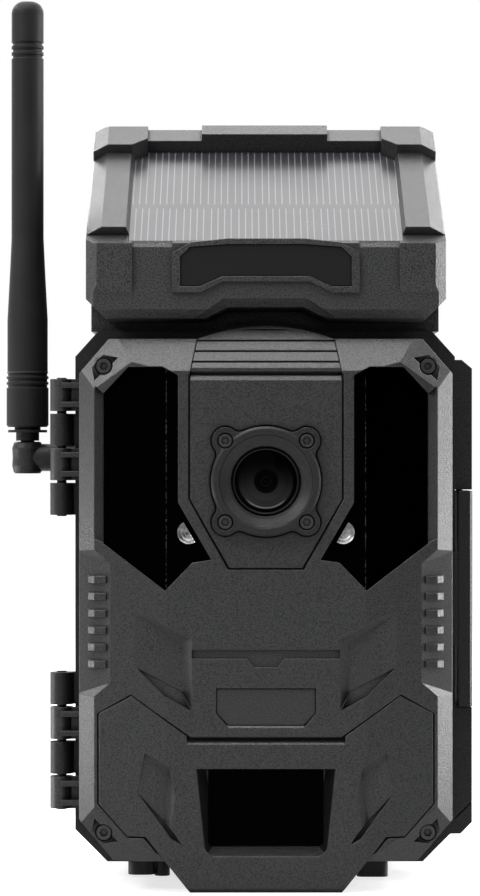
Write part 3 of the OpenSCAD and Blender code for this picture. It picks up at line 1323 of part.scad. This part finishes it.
collar_r = whip_foot_r + 0.25;
neck_r = 3.65;
washer_r = 6.15;
ring_deep = 0.4;
tip_round = 3.6;
function groove_ring(r, z) = [[r, z], [r - ring_deep, z + 0.15], [r - ring_deep, z + 0.95], [r, z + 1.1]];
module antenna_whip() color([0.07, 0.07, 0.07]) put() translate([whip_x, jack_f, whip_z0])
  rotate_extrude() polygon(concat(
  [[stub_r + run_gap, 0], [neck_r, 0], [neck_r, 2.6], [washer_r, 2.6], [washer_r, 3.4],
    [neck_r + 0.45, 3.4],
    [neck_r + 0.45, 4.3], [collar_r - 0.5, 4.3], [collar_r, 4.9]],
  groove_ring(collar_r, 16.6), groove_ring(collar_r, 18.4), groove_ring(collar_r, 20.2),
  [[whip_foot_r, 21.7], [whip_foot_r, 38], [whip_tip_r + 0.55, 52], [whip_tip_r, 63.8]],
  groove_ring(whip_tip_r, whip_len - 18), groove_ring(whip_tip_r, whip_len - 16),
    groove_ring(whip_tip_r, whip_len - 14),
  [for (a = [0 : 15 : 90]) [whip_tip_r - tip_round + tip_round * cos(a),
    whip_len - tip_round + tip_round * sin(a)]],
  [[0, whip_len], [0, stub_len + 0.6], [stub_r + run_gap, stub_len + 0.6]]));

rear_housing();
rim_gasket();
hinge_pin_upper();
hinge_pin_lower();
battery_tray();
battery_cells();
battery_contacts();
tripod_insert();
back_insert();
antenna_jack();
antenna_jack_nut();
power_jack();
jack_plug();
rubber_feet();
panel_base();
panel_frame();
solar_laminate();
lip_plate();
hood_battery();
hood_screws();
latch_pin();
latch_lever();
antenna_elbow();
antenna_whip();
front_shell();
lower_cover();
lens_panel();
brow();
ir_window_left();
ir_window_right();
emitter_boards();
emitters();
window_discs();
lens_ring();
lens_ring_screws();
lens_glass();
lens_barrel();
sensor_board();
main_board();
modem_can();
pir_window();
pir_sensor();
pir_board();
corner_screws();
face_plate();
inner_cover();
inner_cover_screws();
card_slot();
status_lights();
power_button();
memory_card();
sim_card();
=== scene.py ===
"""Looks of a cellular trail camera: materials, softened edges, small surface pieces, light and camera."""
import math

import bmesh
import bpy
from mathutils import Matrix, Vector


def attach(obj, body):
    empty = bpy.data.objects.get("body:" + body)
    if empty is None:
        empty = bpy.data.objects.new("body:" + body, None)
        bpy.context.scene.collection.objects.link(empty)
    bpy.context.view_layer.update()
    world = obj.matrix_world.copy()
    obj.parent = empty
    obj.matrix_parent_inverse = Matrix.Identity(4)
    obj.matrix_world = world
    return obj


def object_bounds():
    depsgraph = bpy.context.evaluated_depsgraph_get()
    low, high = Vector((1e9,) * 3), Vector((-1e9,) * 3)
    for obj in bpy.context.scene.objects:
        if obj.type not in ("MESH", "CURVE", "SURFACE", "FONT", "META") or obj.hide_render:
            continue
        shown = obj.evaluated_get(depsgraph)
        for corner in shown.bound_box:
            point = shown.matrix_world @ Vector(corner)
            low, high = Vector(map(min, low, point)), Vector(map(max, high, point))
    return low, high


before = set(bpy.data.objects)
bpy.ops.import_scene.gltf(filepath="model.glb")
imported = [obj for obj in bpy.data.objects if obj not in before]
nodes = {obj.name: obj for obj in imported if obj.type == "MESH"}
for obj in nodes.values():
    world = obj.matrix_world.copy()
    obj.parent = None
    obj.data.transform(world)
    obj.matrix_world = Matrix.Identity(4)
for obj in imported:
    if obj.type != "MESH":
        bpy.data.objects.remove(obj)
cad_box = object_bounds()
MM = 0.001

# Front plane of the face, in the frame's Y
FRONT_Y = -48 * MM

# Places on the part, in the frame's X and Z
LENS_Z = 123.5 * MM
DISC_X, DISC_Z = 23.2 * MM, 108.1 * MM
# Recess of the lower window, whose walls get painted shade: half width, foot and top
SENSOR_RECESS = (21.3 * MM, 10.6 * MM, 37.5 * MM)
# Break between the two rows of solar cells
ROW_BREAK_Z = 207.9 * MM
# Foot of each row of battery cells, and where the band of the lower row starts
LOW_CELL_Z, HIGH_CELL_Z = 24.2 * MM, 75.9 * MM
BAND_Z = 60 * MM

# Node trees


def new_material(name):
    """A material with a Principled shader, and a function that adds nodes to it."""
    material = bpy.data.materials.new(name)
    material.use_nodes = True
    tree = material.node_tree
    shader = tree.nodes["Principled BSDF"]

    def add(kind, inputs=None, **settings):
        node = tree.nodes.new(kind)
        for key, value in settings.items():
            setattr(node, key, value)
        for key, value in (inputs or {}).items():
            if isinstance(value, bpy.types.NodeSocket):
                tree.links.new(value, node.inputs[key])
            else:
                node.inputs[key].default_value = value
        return node

    def join(socket, target):
        tree.links.new(socket, shader.inputs[target])

    return material, shader, add, join


def place(add):
    """Place on the piece, in metres, which moves with its body."""
    return add("ShaderNodeTexCoord").outputs["Object"]


def noise(add, where, size, detail=3.0, rough=0.55):
    """Noise whose blobs are about size across."""
    return add("ShaderNodeTexNoise", {"Vector": where, "Scale": 1 / size, "Detail": detail,
                                      "Roughness": rough}).outputs["Fac"]


def stretch(add, value, low, high, new_low, new_high):
    """Maps low..high to new_low..new_high, held at the ends."""
    return add("ShaderNodeMapRange", {"Value": value, "From Min": low, "From Max": high,
                                      "To Min": new_low, "To Max": new_high}).outputs["Result"]


def math_node(add, operation, a, b=0.0):
    """Result of one sum on two values or sockets."""
    return add("ShaderNodeMath", {0: a, 1: b}, operation=operation).outputs[0]


def mix_colour(add, fac, a, b):
    """Colour between a and b, which are colours or sockets."""
    node = add("ShaderNodeMix", {0: fac}, data_type="RGBA")
    for index, value in ((6, a), (7, b)):
        if isinstance(value, bpy.types.NodeSocket):
            node.id_data.links.new(value, node.inputs[index])
        else:
            node.inputs[index].default_value = value
    return node.outputs[2]


def grey(level, tint=(1.0, 1.0, 1.0)):
    """Linear grey of that level, slightly tinted."""
    return (level * tint[0], level * tint[1], level * tint[2], 1.0)


def bump(add, height, depth, over=None):
    """Normal of a face raised by height times depth, over another normal where one is given."""
    inputs = {"Height": height, "Distance": depth, "Strength": 1.0}
    if over is not None:
        inputs["Normal"] = over
    return add("ShaderNodeBump", inputs).outputs["Normal"]


# Materials


def rounded(add, radius, flat_from=0.98, full_at=0.78):
    """Normal of an edge rounded to that radius, and how far it leans from the flat face."""
    normal = add("ShaderNodeBevel", {"Radius": radius}, samples=4).outputs["Normal"]
    flat = add("ShaderNodeNewGeometry").outputs["Normal"]
    along = add("ShaderNodeVectorMath", {0: normal, 1: flat}, operation="DOT_PRODUCT").outputs["Value"]
    return normal, stretch(add, along, flat_from, full_at, 0.0, 1.0)


def painted_crevice_shade(add, reach):
    """1 on an open face, falling towards 0 in a narrow corner or groove, where it paints shade into the colour.
    """
    seen = add("ShaderNodeAmbientOcclusion", {"Distance": reach}, samples=4).outputs["AO"]
    return stretch(add, seen, 0.4, 0.95, 0.03, 1.0)


def moulded(name, level, rough=0.32, shine=0.25, grain=0.38 * MM, contrast=0.7, depth=0.09 * MM, wear_and_highlight=0.55,
            radius=0.45 * MM, reach=2.2 * MM, tint=(0.98, 1.0, 1.02), recess=None):
    """Moulded plastic with a spark-eroded grain, faint mottling, painted shade in its corners, and edges
    lightened in patches, partly as wear and partly as a painted highlight.

    A recess, given by its half width, foot and top, gets painted shade, near black, on its walls behind the front
    face.
    """
    material, shader, add, join = new_material(name)
    where = place(add)
    fine = noise(add, where, grain, 2.0)
    broad = noise(add, where, 14 * MM, 4.0)
    rubbed = noise(add, where, 3 * MM, 5.0, 0.65)
    soft, edge = rounded(add, radius)
    # Edges lightened in patches: partly wear, partly a painted highlight along the edges.
    patchy = math_node(add, "MULTIPLY", edge, stretch(add, rubbed, 0.35, 0.65, wear_and_highlight * 0.3, wear_and_highlight))
    pits = stretch(add, fine, 0.36, 0.64, 0.0, 1.0)
    dim = 1 - contrast
    low = mix_colour(add, broad, grey(level * dim * 0.85, tint), grey(level * dim * 1.15, tint))
    speckled = mix_colour(add, pits, low, grey(level * (1 + contrast), tint))
    # Painted shade: the colour darkens towards near black in corners and grooves, and turns matt there.
    unshaded = painted_crevice_shade(add, reach)
    wear_and_painted_light = mix_colour(add, patchy, speckled, grey(level * 4, tint))
    # Painted shade on the recess walls behind the front face.
    if recess:
        half, foot, top = recess
        axes = add("ShaderNodeSeparateXYZ", {0: where}).outputs
        inside = math_node(add, "LESS_THAN", math_node(add, "ABSOLUTE", axes["X"]), half)
        for test, height in (("GREATER_THAN", foot), ("LESS_THAN", top)):
            inside = math_node(add, "MULTIPLY", inside, math_node(add, test, axes["Z"], height))
        behind = stretch(add, axes["Y"], FRONT_Y + 0.3 * MM, FRONT_Y + 0.6 * MM, 0.0, 1.0)
        wear_and_painted_light = mix_colour(add, math_node(add, "MULTIPLY", inside, behind), wear_and_painted_light, grey(level * 0.08, tint))
    join(mix_colour(add, unshaded, grey(level * 0.1, tint), wear_and_painted_light), "Base Color")
    matt = stretch(add, fine, 0.3, 0.7, rough + 0.06, rough - 0.06)
    rubbed_matt = math_node(add, "SUBTRACT", matt, math_node(add, "MULTIPLY", patchy, 0.12))
    join(math_node(add, "MAXIMUM", rubbed_matt, stretch(add, unshaded, 0.0, 1.0, 0.9, 0.0)), "Roughness")
    join(bump(add, fine, depth, over=soft), "Normal")
    shader.inputs["Specular IOR Level"].default_value = shine
    return material


def gloss_black(name, level=0.0002, rough=0.05, shine=0.005, radius=0.35 * MM, scuff_and_glint=0.16, smear=0.08):
    """Polished black plastic with faint handling marks, and edges lightened in patches, partly as scuffs and
    partly as a painted highlight along folds and edges.
    """
    material, shader, add, join = new_material(name)
    where = place(add)
    smears = noise(add, where, 9 * MM, 5.0, 0.6)
    flecks = stretch(add, noise(add, where, 1.1 * MM, 3.0, 0.7), 0.48, 0.62, 0.0, 1.0)
    soft, edge = rounded(add, radius, 0.9994, 0.994)
    # Edges and folds lightened in flecks: scuffs, and a painted highlight.
    join(mix_colour(add, math_node(add, "MULTIPLY", edge, flecks), grey(level), grey(scuff_and_glint)), "Base Color")
    shader.inputs["Specular IOR Level"].default_value = shine
    join(stretch(add, smears, 0.3, 0.7, rough, rough + smear), "Roughness")
    join(soft, "Normal")
    return material


def radius_about(add, axes, middle_x, middle_z):
    """Distance from an axis along Y through that point, and the height above it."""
    across = math_node(add, "SUBTRACT", axes["X"], middle_x)
    up = math_node(add, "SUBTRACT", axes["Z"], middle_z)
    square = math_node(add, "ADD", math_node(add, "MULTIPLY", across, across), math_node(add, "MULTIPLY", up, up))
    return math_node(add, "SQRT", square), up


def coated_glass(name, middle_z):
    """Coated lens glass, opaque, with what lies inside painted on: a ringed black stop, a barrel with painted
    light that pales downwards, and a painted highlight line at its foot.
    """
    material, shader, add, join = new_material(name)
    where = place(add)
    far, up = radius_about(add, add("ShaderNodeSeparateXYZ", {0: where}).outputs, 0.0, middle_z)
    # Painted light: the barrel behind the glass is dark at the top and lit paler towards the bottom.
    painted_light_fade = stretch(add, up, 7 * MM, -5 * MM, 0.0, 1.0)
    barrel = mix_colour(add, math_node(add, "MULTIPLY", painted_light_fade, painted_light_fade), (0.0006, 0.0006, 0.0008, 1.0),
                        (0.0215, 0.0215, 0.0225, 1.0))
    open_at = stretch(add, far, 3.4 * MM, 3.9 * MM, 0.0, 1.0)
    waves = math_node(add, "COSINE", math_node(add, "MULTIPLY", far, math.tau / (1.4 * MM)))
    rings = math_node(add, "MULTIPLY", stretch(add, waves, 0.2, 1.0, 0.0, 1.0),
                      stretch(add, far, 0.2 * MM, 2.6 * MM, 1.0, 0.0))
    stop = mix_colour(add, rings, (0.0002, 0.0002, 0.0003, 1.0), (0.004, 0.004, 0.0042, 1.0))
    step = stretch(add, math_node(add, "ABSOLUTE", math_node(add, "SUBTRACT", far, 6.3 * MM)), 0.1 * MM, 0.4 * MM,
                   0.25, 0.0)
    seen = mix_colour(add, open_at, stop, barrel)
    shaded = mix_colour(add, step, seen, (0.001, 0.001, 0.001, 1.0))
    # Painted highlight: a bright arc 8 mm from the axis, along the lowest part only.
    line = stretch(add, math_node(add, "ABSOLUTE", math_node(add, "SUBTRACT", far, 8.0 * MM)), 0.1 * MM, 0.3 * MM,
                   1.0, 0.0)
    low = stretch(add, up, -5.2 * MM, -6.7 * MM, 0.0, 1.0)
    outside = stretch(add, far, 8.1 * MM, 8.3 * MM, 0.0, 1.0)
    ended = mix_colour(add, outside, shaded, (0.001, 0.001, 0.001, 1.0))
    join(mix_colour(add, math_node(add, "MULTIPLY", line, low), ended, (0.16, 0.16, 0.17, 1.0)), "Base Color")
    shader.inputs["Specular IOR Level"].default_value = 0.012
    join(stretch(add, noise(add, where, 4 * MM, 4.0), 0.3, 0.7, 0.03, 0.08), "Roughness")
    return material


def solar_cells(name, row_z):
    """Dark cells with fine light conductor lines in two rows, under a satin laminate."""
    material, shader, add, join = new_material(name)
    where = place(add)
    axes = add("ShaderNodeSeparateXYZ", {0: where}).outputs
    above = math_node(add, "GREATER_THAN", axes["Z"], row_z)
    shifted = math_node(add, "ADD", axes["X"], math_node(add, "MULTIPLY", above, 1.1 * MM))
    group = add("ShaderNodeMath", {0: shifted, 1: LINE_GROUP, 2: 0.0}, operation="WRAP").outputs[0]
    held = math_node(add, "MINIMUM", group, LINE_GROUP - 0.6 * LINE_PITCH)
    place_in = add("ShaderNodeMath", {0: held, 1: LINE_PITCH, 2: 0.0}, operation="WRAP").outputs[0]
    from_line = math_node(add, "ABSOLUTE", math_node(add, "SUBTRACT", place_in, LINE_W))
    line = stretch(add, from_line, LINE_W * 0.35, LINE_W * 0.75, 1.0, 0.0)
    from_break = math_node(add, "ABSOLUTE", math_node(add, "SUBTRACT", axes["Z"], row_z))
    inside = stretch(add, from_break, 0.6 * MM, 0.9 * MM, 0.0, 1.0)
    cloud = noise(add, where, 12 * MM, 4.0)
    cells = mix_colour(add, cloud, (0.012, 0.012, 0.014, 1.0), (0.02, 0.02, 0.023, 1.0))
    seen = math_node(add, "MULTIPLY", math_node(add, "MULTIPLY", line, inside), 0.8)
    join(mix_colour(add, seen, cells, (0.1, 0.1, 0.105, 1.0)), "Base Color")
    shader.inputs["Specular IOR Level"].default_value = 0.36
    join(stretch(add, cloud, 0.3, 0.7, 0.27, 0.33), "Roughness")
    return material


def dished_chrome(name, middle_x, middle_z):
    """Bright pressed metal with turned rings about each disc's middle, and a painted reflection, bright below the
    middle and dark above it.
    """
    material, shader, add, join = new_material(name)
    axes = add("ShaderNodeSeparateXYZ", {0: place(add)}).outputs
    across = math_node(add, "SUBTRACT", math_node(add, "ABSOLUTE", axes["X"]), middle_x)
    up = math_node(add, "SUBTRACT", axes["Z"], middle_z)
    square = math_node(add, "ADD", math_node(add, "MULTIPLY", across, across), math_node(add, "MULTIPLY", up, up))
    far = math_node(add, "SQRT", square)
    rings = math_node(add, "SINE", math_node(add, "MULTIPLY", far, math.tau / (1.1 * MM)))
    dish = math_node(add, "ADD", math_node(add, "MULTIPLY", far, 0.35),
                     math_node(add, "MULTIPLY", rings, 0.03 * MM))
    # Painted reflection: the metal's colour is bright below the disc's middle and dark above it.
    low = stretch(add, up, -2.5 * MM, 1.5 * MM, 0.0, 1.0)
    painted_reflection_tone = mix_colour(add, low, grey(0.42), grey(0.09))
    streaks = noise(add, place(add), 1.3 * MM, 4.0, 0.7)
    join(mix_colour(add, stretch(add, streaks, 0.4, 0.65, 0.0, 0.7), painted_reflection_tone, grey(0.05)), "Base Color")
    shader.inputs["Metallic"].default_value = 1.0
    shader.inputs["Roughness"].default_value = 0.28
    join(bump(add, dish, 1.0), "Normal")
    return material


def rubber(name, level=0.008, shine=0.2):
    """Matt rubber with a slight bloom."""
    material, shader, add, join = new_material(name)
    where = place(add)
    bloom = noise(add, where, 11 * MM, 5.0)
    fine = noise(add, where, 0.35 * MM, 2.0)
    soft, edge = rounded(add, 0.4 * MM)
    plain = mix_colour(add, bloom, grey(level * 0.8), grey(level * 1.2))
    join(mix_colour(add, math_node(add, "MULTIPLY", edge, 0.3), plain, grey(level * 2.5)), "Base Color")
    join(stretch(add, bloom, 0.3, 0.7, 0.42, 0.54), "Roughness")
    join(bump(add, fine, 0.03 * MM, over=soft), "Normal")
    shader.inputs["Specular IOR Level"].default_value = shine
    return material


def metal(name, colour):
    """Bare metal with fine marks, faint tarnish and painted shade in its corners."""
    material, shader, add, join = new_material(name)
    where = place(add)
    marks = noise(add, where, 0.5 * MM, 4.0, 0.7)
    tarnish = noise(add, where, 6 * MM, 4.0)
    soft = rounded(add, 0.15 * MM)[0]
    shader.inputs["Metallic"].default_value = 1.0
    dark = tuple(c * 0.78 for c in colour) + (1.0,)
    bare = mix_colour(add, tarnish, dark, tuple(colour) + (1.0,))
    # Painted shade: the colour darkens in corners and grooves.
    join(mix_colour(add, painted_crevice_shade(add, 1.2 * MM), tuple(c * 0.12 for c in colour) + (1.0,), bare), "Base Color")
    join(stretch(add, marks, 0.3, 0.7, 0.28, 0.46), "Roughness")
    join(bump(add, marks, 0.008 * MM, over=soft), "Normal")
    return material


def circuit_board(name):
    """Green solder mask with tracks and pads."""
    material, _, add, join = new_material(name)
    where = place(add)
    tracks = add("ShaderNodeTexBrick", {"Vector": where, "Scale": 220.0, "Mortar Size": 0.02,
                                        "Color1": (0.006, 0.05, 0.02, 1.0), "Color2": (0.008, 0.062, 0.026, 1.0),
                                        "Mortar": (0.02, 0.12, 0.05, 1.0)}).outputs["Color"]
    join(tracks, "Base Color")
    join(stretch(add, noise(add, where, 4 * MM), 0.3, 0.7, 0.28, 0.4), "Roughness")
    return material


def wrapped_cell(name):
    """Shrink wrap of a battery cell, with a band of copper colour at its upper end."""
    material, _, add, join = new_material(name)
    where = place(add)
    height = add("ShaderNodeSeparateXYZ", {0: where}).outputs["Z"]
    in_row = add("ShaderNodeMath", {0: height, 1: HIGH_CELL_Z, 2: LOW_CELL_Z}, operation="WRAP").outputs[0]
    band = stretch(add, in_row, BAND_Z, BAND_Z + 0.3 * MM, 0.0, 1.0)
    join(mix_colour(add, band, (0.012, 0.012, 0.013, 1.0), (0.42, 0.2, 0.07, 1.0)), "Base Color")
    join(stretch(add, noise(add, where, 5 * MM), 0.3, 0.7, 0.2, 0.34), "Roughness")
    return material


# Conductor lines of the solar cells: pitch, width and length of a group of four
LINE_PITCH = 2.0 * MM
LINE_W = 0.3 * MM
LINE_GROUP = 8.4 * MM

GREY = moulded("grey_moulding", 0.019)
COVER = moulded("cover_moulding", 0.019, recess=SENSOR_RECESS)
BLACK = moulded("black_moulding", 0.009, rough=0.42, shine=0.18)
GRAINED = moulded("grained_moulding", 0.021, rough=0.32, grain=0.45 * MM, contrast=0.95, depth=0.2 * MM, wear_and_highlight=0.6,
                  reach=3 * MM)
RING = moulded("ring_moulding", 0.011, rough=0.36, shine=0.18)
MATT = moulded("matt_black", 0.003, rough=0.5, shine=0.05, contrast=0.1, depth=0.005 * MM, wear_and_highlight=0.1)
SATIN = gloss_black("satin_black", 0.007, rough=0.34, shine=0.12, scuff_and_glint=0.015, smear=0.02)
LED = gloss_black("light_pipe", 0.12, rough=0.2, shine=0.5, scuff_and_glint=0.2)
GLOSS = gloss_black("gloss_black")
GLASS = coated_glass("coated_glass", LENS_Z)
SOLAR = solar_cells("solar_cells", ROW_BREAK_Z)
CHROME = dished_chrome("dished_chrome", DISC_X, DISC_Z)
RUBBER = rubber("rubber")
SLEEVE = rubber("antenna_sleeve", 0.011, 0.09)
STEEL = metal("steel", (0.36, 0.365, 0.375))
DARK_STEEL = metal("black_oxide", (0.045, 0.045, 0.047))
BRASS = metal("brass", (0.4, 0.28, 0.11))
BOARD = circuit_board("circuit_board")
CELL = wrapped_cell("cell_wrap")

NODE_MATERIALS = {
    "rear_housing": BLACK, "rim_gasket": RUBBER, "hinge_pin_upper": DARK_STEEL, "hinge_pin_lower": DARK_STEEL,
    "battery_tray": BLACK, "battery_cells": CELL, "battery_contacts": STEEL, "tripod_insert": BRASS,
    "back_insert": BRASS, "antenna_jack": BRASS, "antenna_jack_nut": STEEL, "power_jack": BLACK,
    "jack_plug": RUBBER, "rubber_feet": RUBBER, "panel_base": GRAINED, "panel_frame": GREY,
    "solar_laminate": SOLAR, "lip_plate": SATIN, "hood_battery": CELL, "hood_screws": STEEL,
    "latch_pin": STEEL, "latch_lever": BLACK, "antenna_elbow": BLACK, "antenna_whip": SLEEVE,
    "front_shell": GREY, "lower_cover": COVER, "lens_panel": GREY, "brow": GREY, "ir_window_left": GLOSS,
    "ir_window_right": GLOSS, "emitter_boards": BOARD, "emitters": GLOSS, "window_discs": CHROME,
    "lens_ring": RING, "lens_ring_screws": DARK_STEEL, "lens_glass": GLASS, "lens_barrel": MATT,
    "sensor_board": BOARD, "main_board": BOARD, "modem_can": STEEL, "pir_window": GLOSS, "pir_sensor": STEEL,
    "pir_board": BOARD, "corner_screws": DARK_STEEL, "face_plate": GREY, "inner_cover": BLACK,
    "inner_cover_screws": STEEL, "card_slot": STEEL, "status_lights": LED, "power_button": RUBBER,
    "memory_card": BLACK, "sim_card": BLACK,
}

for name, material in NODE_MATERIALS.items():
    mesh = nodes[name].data
    mesh.materials.clear()
    mesh.materials.append(material)

# Rounded edges of the rubber pieces


def soften(node, width):
    """Rounds a simple node's edges by modifiers alone."""
    piece = nodes[node]
    weld = piece.modifiers.new("weld", "WELD")
    weld.merge_threshold = 0.002 * MM
    bevel = piece.modifiers.new("bevel", "BEVEL")
    bevel.limit_method = "ANGLE"
    bevel.angle_limit = math.radians(40)
    bevel.width = width
    bevel.segments = 3


for name in ("rubber_feet", "jack_plug"):
    soften(name, 0.8 * MM)

# Small surface pieces


def turned(name, profile, body, material):
    """A ring turned about the lens axis from (radius, depth) points in millimetres."""
    mesh = bpy.data.meshes.new(name)
    shape = bmesh.new()
    steps = 96
    loops = []
    for step in range(steps):
        angle = math.tau * step / steps
        loops.append([shape.verts.new((r * MM * math.cos(angle), FRONT_Y + f * MM,
                                       LENS_Z + r * MM * math.sin(angle))) for r, f in profile])
    for step in range(steps):
        a, b = loops[step], loops[(step + 1) % steps]
        for i in range(len(profile)):
            j = (i + 1) % len(profile)
            face = shape.faces.new((a[i], a[j], b[j], b[i]))
            face.smooth = True
    bmesh.ops.recalc_face_normals(shape, faces=shape.faces)
    shape.to_mesh(mesh)
    shape.free()
    mesh.materials.append(material)
    piece = bpy.data.objects.new(name, mesh)
    bpy.context.collection.objects.link(piece)
    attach(piece, body)


TRIM_PROFILE = [(9.58, 0.74), (9.62, 0.64), (9.7, 0.6), (9.78, 0.64), (9.82, 0.74)]
turned("lens_trim", TRIM_PROFILE, "door", DARK_STEEL)

# Floor, light and camera

# The floor's radius, how far its shadow reaches, and its own light there as a share of white
FLOOR_R = 9.0
SHADOW_R = (0.12, 0.5)
SHADOW_LEVEL = 0.72
# Light of the surroundings as a share of what the camera sees
WORLD_LIGHT = 0.12
# Height of the picture at the face, the camera's distance from it, and its place across and up
PICTURE_H = 268.8 * MM
CAMERA_AWAY = 1.0
CAMERA_X, CAMERA_Z = -7.8 * MM, 133.5 * MM


def stage_material():
    """White paper, lifted where the camera or a reflection sees it, and least round the part, for its shadow."""
    material, shader, add, join = new_material("white_paper")
    path = add("ShaderNodeLightPath").outputs
    seen = math_node(add, "MAXIMUM", path["Is Camera Ray"],
                     math_node(add, "MAXIMUM", path["Is Glossy Ray"], path["Is Transmission Ray"]))
    shader.inputs["Base Color"].default_value = grey(0.35)
    shader.inputs["Roughness"].default_value = 0.9
    shader.inputs["Specular IOR Level"].default_value = 0.0
    shader.inputs["Emission Color"].default_value = grey(1.0)
    away = add("ShaderNodeVectorMath", {0: place(add)}, operation="LENGTH").outputs["Value"]
    join(math_node(add, "MULTIPLY", seen, stretch(add, away, *SHADOW_R, SHADOW_LEVEL, 1.0)), "Emission Strength")
    return material


def make_floor():
    """A wide white sheet just under the part."""
    mesh = bpy.data.meshes.new("floor")
    shape = bmesh.new()
    bmesh.ops.create_circle(shape, cap_ends=True, radius=FLOOR_R, segments=96)
    shape.to_mesh(mesh)
    shape.free()
    floor = bpy.data.objects.new("floor", mesh)
    floor.location.z = cad_box[0].z - 0.1 * MM
    bpy.context.collection.objects.link(floor)
    mesh.materials.append(stage_material())


def make_dark_card():
    """A black card at the front right, which keeps the right-hand slopes darker in reflections."""
    mesh = bpy.data.meshes.new("dark_card")
    shape = bmesh.new()
    bmesh.ops.create_grid(shape, x_segments=1, y_segments=1, size=0.42)
    shape.to_mesh(mesh)
    shape.free()
    material, shader = new_material("black_card")[:2]
    shader.inputs["Base Color"].default_value = grey(0.01)
    shader.inputs["Roughness"].default_value = 1.0
    shader.inputs["Specular IOR Level"].default_value = 0.0
    mesh.materials.append(material)
    card = bpy.data.objects.new("dark_card", mesh)
    card.location = (0.62, -1.25, 0.42)
    card.rotation_euler = (Vector((0, 0, 0.12)) - card.location).to_track_quat("Z", "Y").to_euler()
    card.visible_camera = False
    card.visible_shadow = False
    bpy.context.collection.objects.link(card)


def make_world():
    """White to the camera and in reflections, and dimmer as a light."""
    world = bpy.data.worlds.new("studio")
    bpy.context.scene.world = world
    world.use_nodes = True
    tree = world.node_tree
    path = tree.nodes.new("ShaderNodeLightPath").outputs
    seen = path["Is Camera Ray"]
    for ray in ("Is Glossy Ray", "Is Transmission Ray"):
        either = tree.nodes.new("ShaderNodeMath")
        either.operation = "MAXIMUM"
        tree.links.new(seen, either.inputs[0])
        tree.links.new(path[ray], either.inputs[1])
        seen = either.outputs[0]
    level = tree.nodes.new("ShaderNodeMapRange")
    level.inputs["To Min"].default_value = WORLD_LIGHT
    level.inputs["To Max"].default_value = 1.0
    tree.links.new(seen, level.inputs["Value"])
    tree.links.new(level.outputs["Result"], tree.nodes["Background"].inputs["Strength"])
    tree.nodes["Background"].inputs["Color"].default_value = grey(1.0)


def area_light(name, place_at, aim, size, radiance):
    """A soft box of that radiance, turned towards aim and hidden from the camera."""
    lamp = bpy.data.lights.new(name, "AREA")
    lamp.shape = "RECTANGLE"
    lamp.size, lamp.size_y = size
    lamp.energy = radiance * math.pi * size[0] * size[1]
    box = bpy.data.objects.new(name, lamp)
    box.location = place_at
    box.rotation_euler = (Vector(aim) - Vector(place_at)).to_track_quat("-Z", "Y").to_euler()
    box.visible_camera = False
    bpy.context.collection.objects.link(box)


def make_camera():
    """A long lens in front of the face, framed as the picture is."""
    data = bpy.data.cameras.new("camera")
    data.sensor_width = 36.0
    data.lens = data.sensor_width * CAMERA_AWAY / PICTURE_H
    data.dof.use_dof = False
    camera = bpy.data.objects.new("camera", data)
    camera.location = (CAMERA_X, FRONT_Y - CAMERA_AWAY, CAMERA_Z)
    camera.rotation_euler = (math.radians(90), 0, 0)
    bpy.context.collection.objects.link(camera)
    bpy.context.scene.camera = camera


# Name, place, aim, size and radiance of each soft box
SOFT_BOXES = (
    ("top_box", (0, 0.62, 1.2), (0, 0.02, 0.21), (1.1, 0.85), 2.9),
    ("right_strip", (0.42, 0.08, 0.18), (0, 0.0, 0.12), (0.16, 0.42), 18.0),
    ("right_low_strip", (0.4, 0.06, 0.04), (0, 0.0, 0.04), (0.12, 0.1), 18.0),
    ("left_strip", (-0.42, 0.03, 0.03), (0, 0.0, 0.03), (0.16, 0.1), 20.0),
    ("front_strip", (-0.15, -0.35, 1.31), (0, 0, 0.16), (1.1, 0.45), 14.5),
    ("left_facet_box", (-0.75, -0.54, 0.77), (0, 0, 0.14), (0.3, 0.3), 34.0),
    ("right_facet_box", (0.75, -0.54, 0.77), (0, 0, 0.14), (0.24, 0.24), 14.0),
    ("left_back_box", (-0.75, 0.25, 0.8), (0, 0, 0.12), (0.3, 0.3), 20.0),
    ("right_back_box", (0.75, 0.25, 0.8), (0, 0, 0.12), (0.3, 0.3), 14.0),
    ("left_rim_box", (-0.55, 0.95, 0.65), (0, 0, 0.18), (0.45, 0.45), 7.0),
    ("right_rim_box", (0.55, 0.95, 0.65), (0, 0, 0.18), (0.45, 0.45), 5.0),
)

make_floor()
make_dark_card()
make_world()
for lamp in SOFT_BOXES:
    area_light(*lamp)
make_camera()
bpy.context.scene.view_settings.view_transform = "Standard"
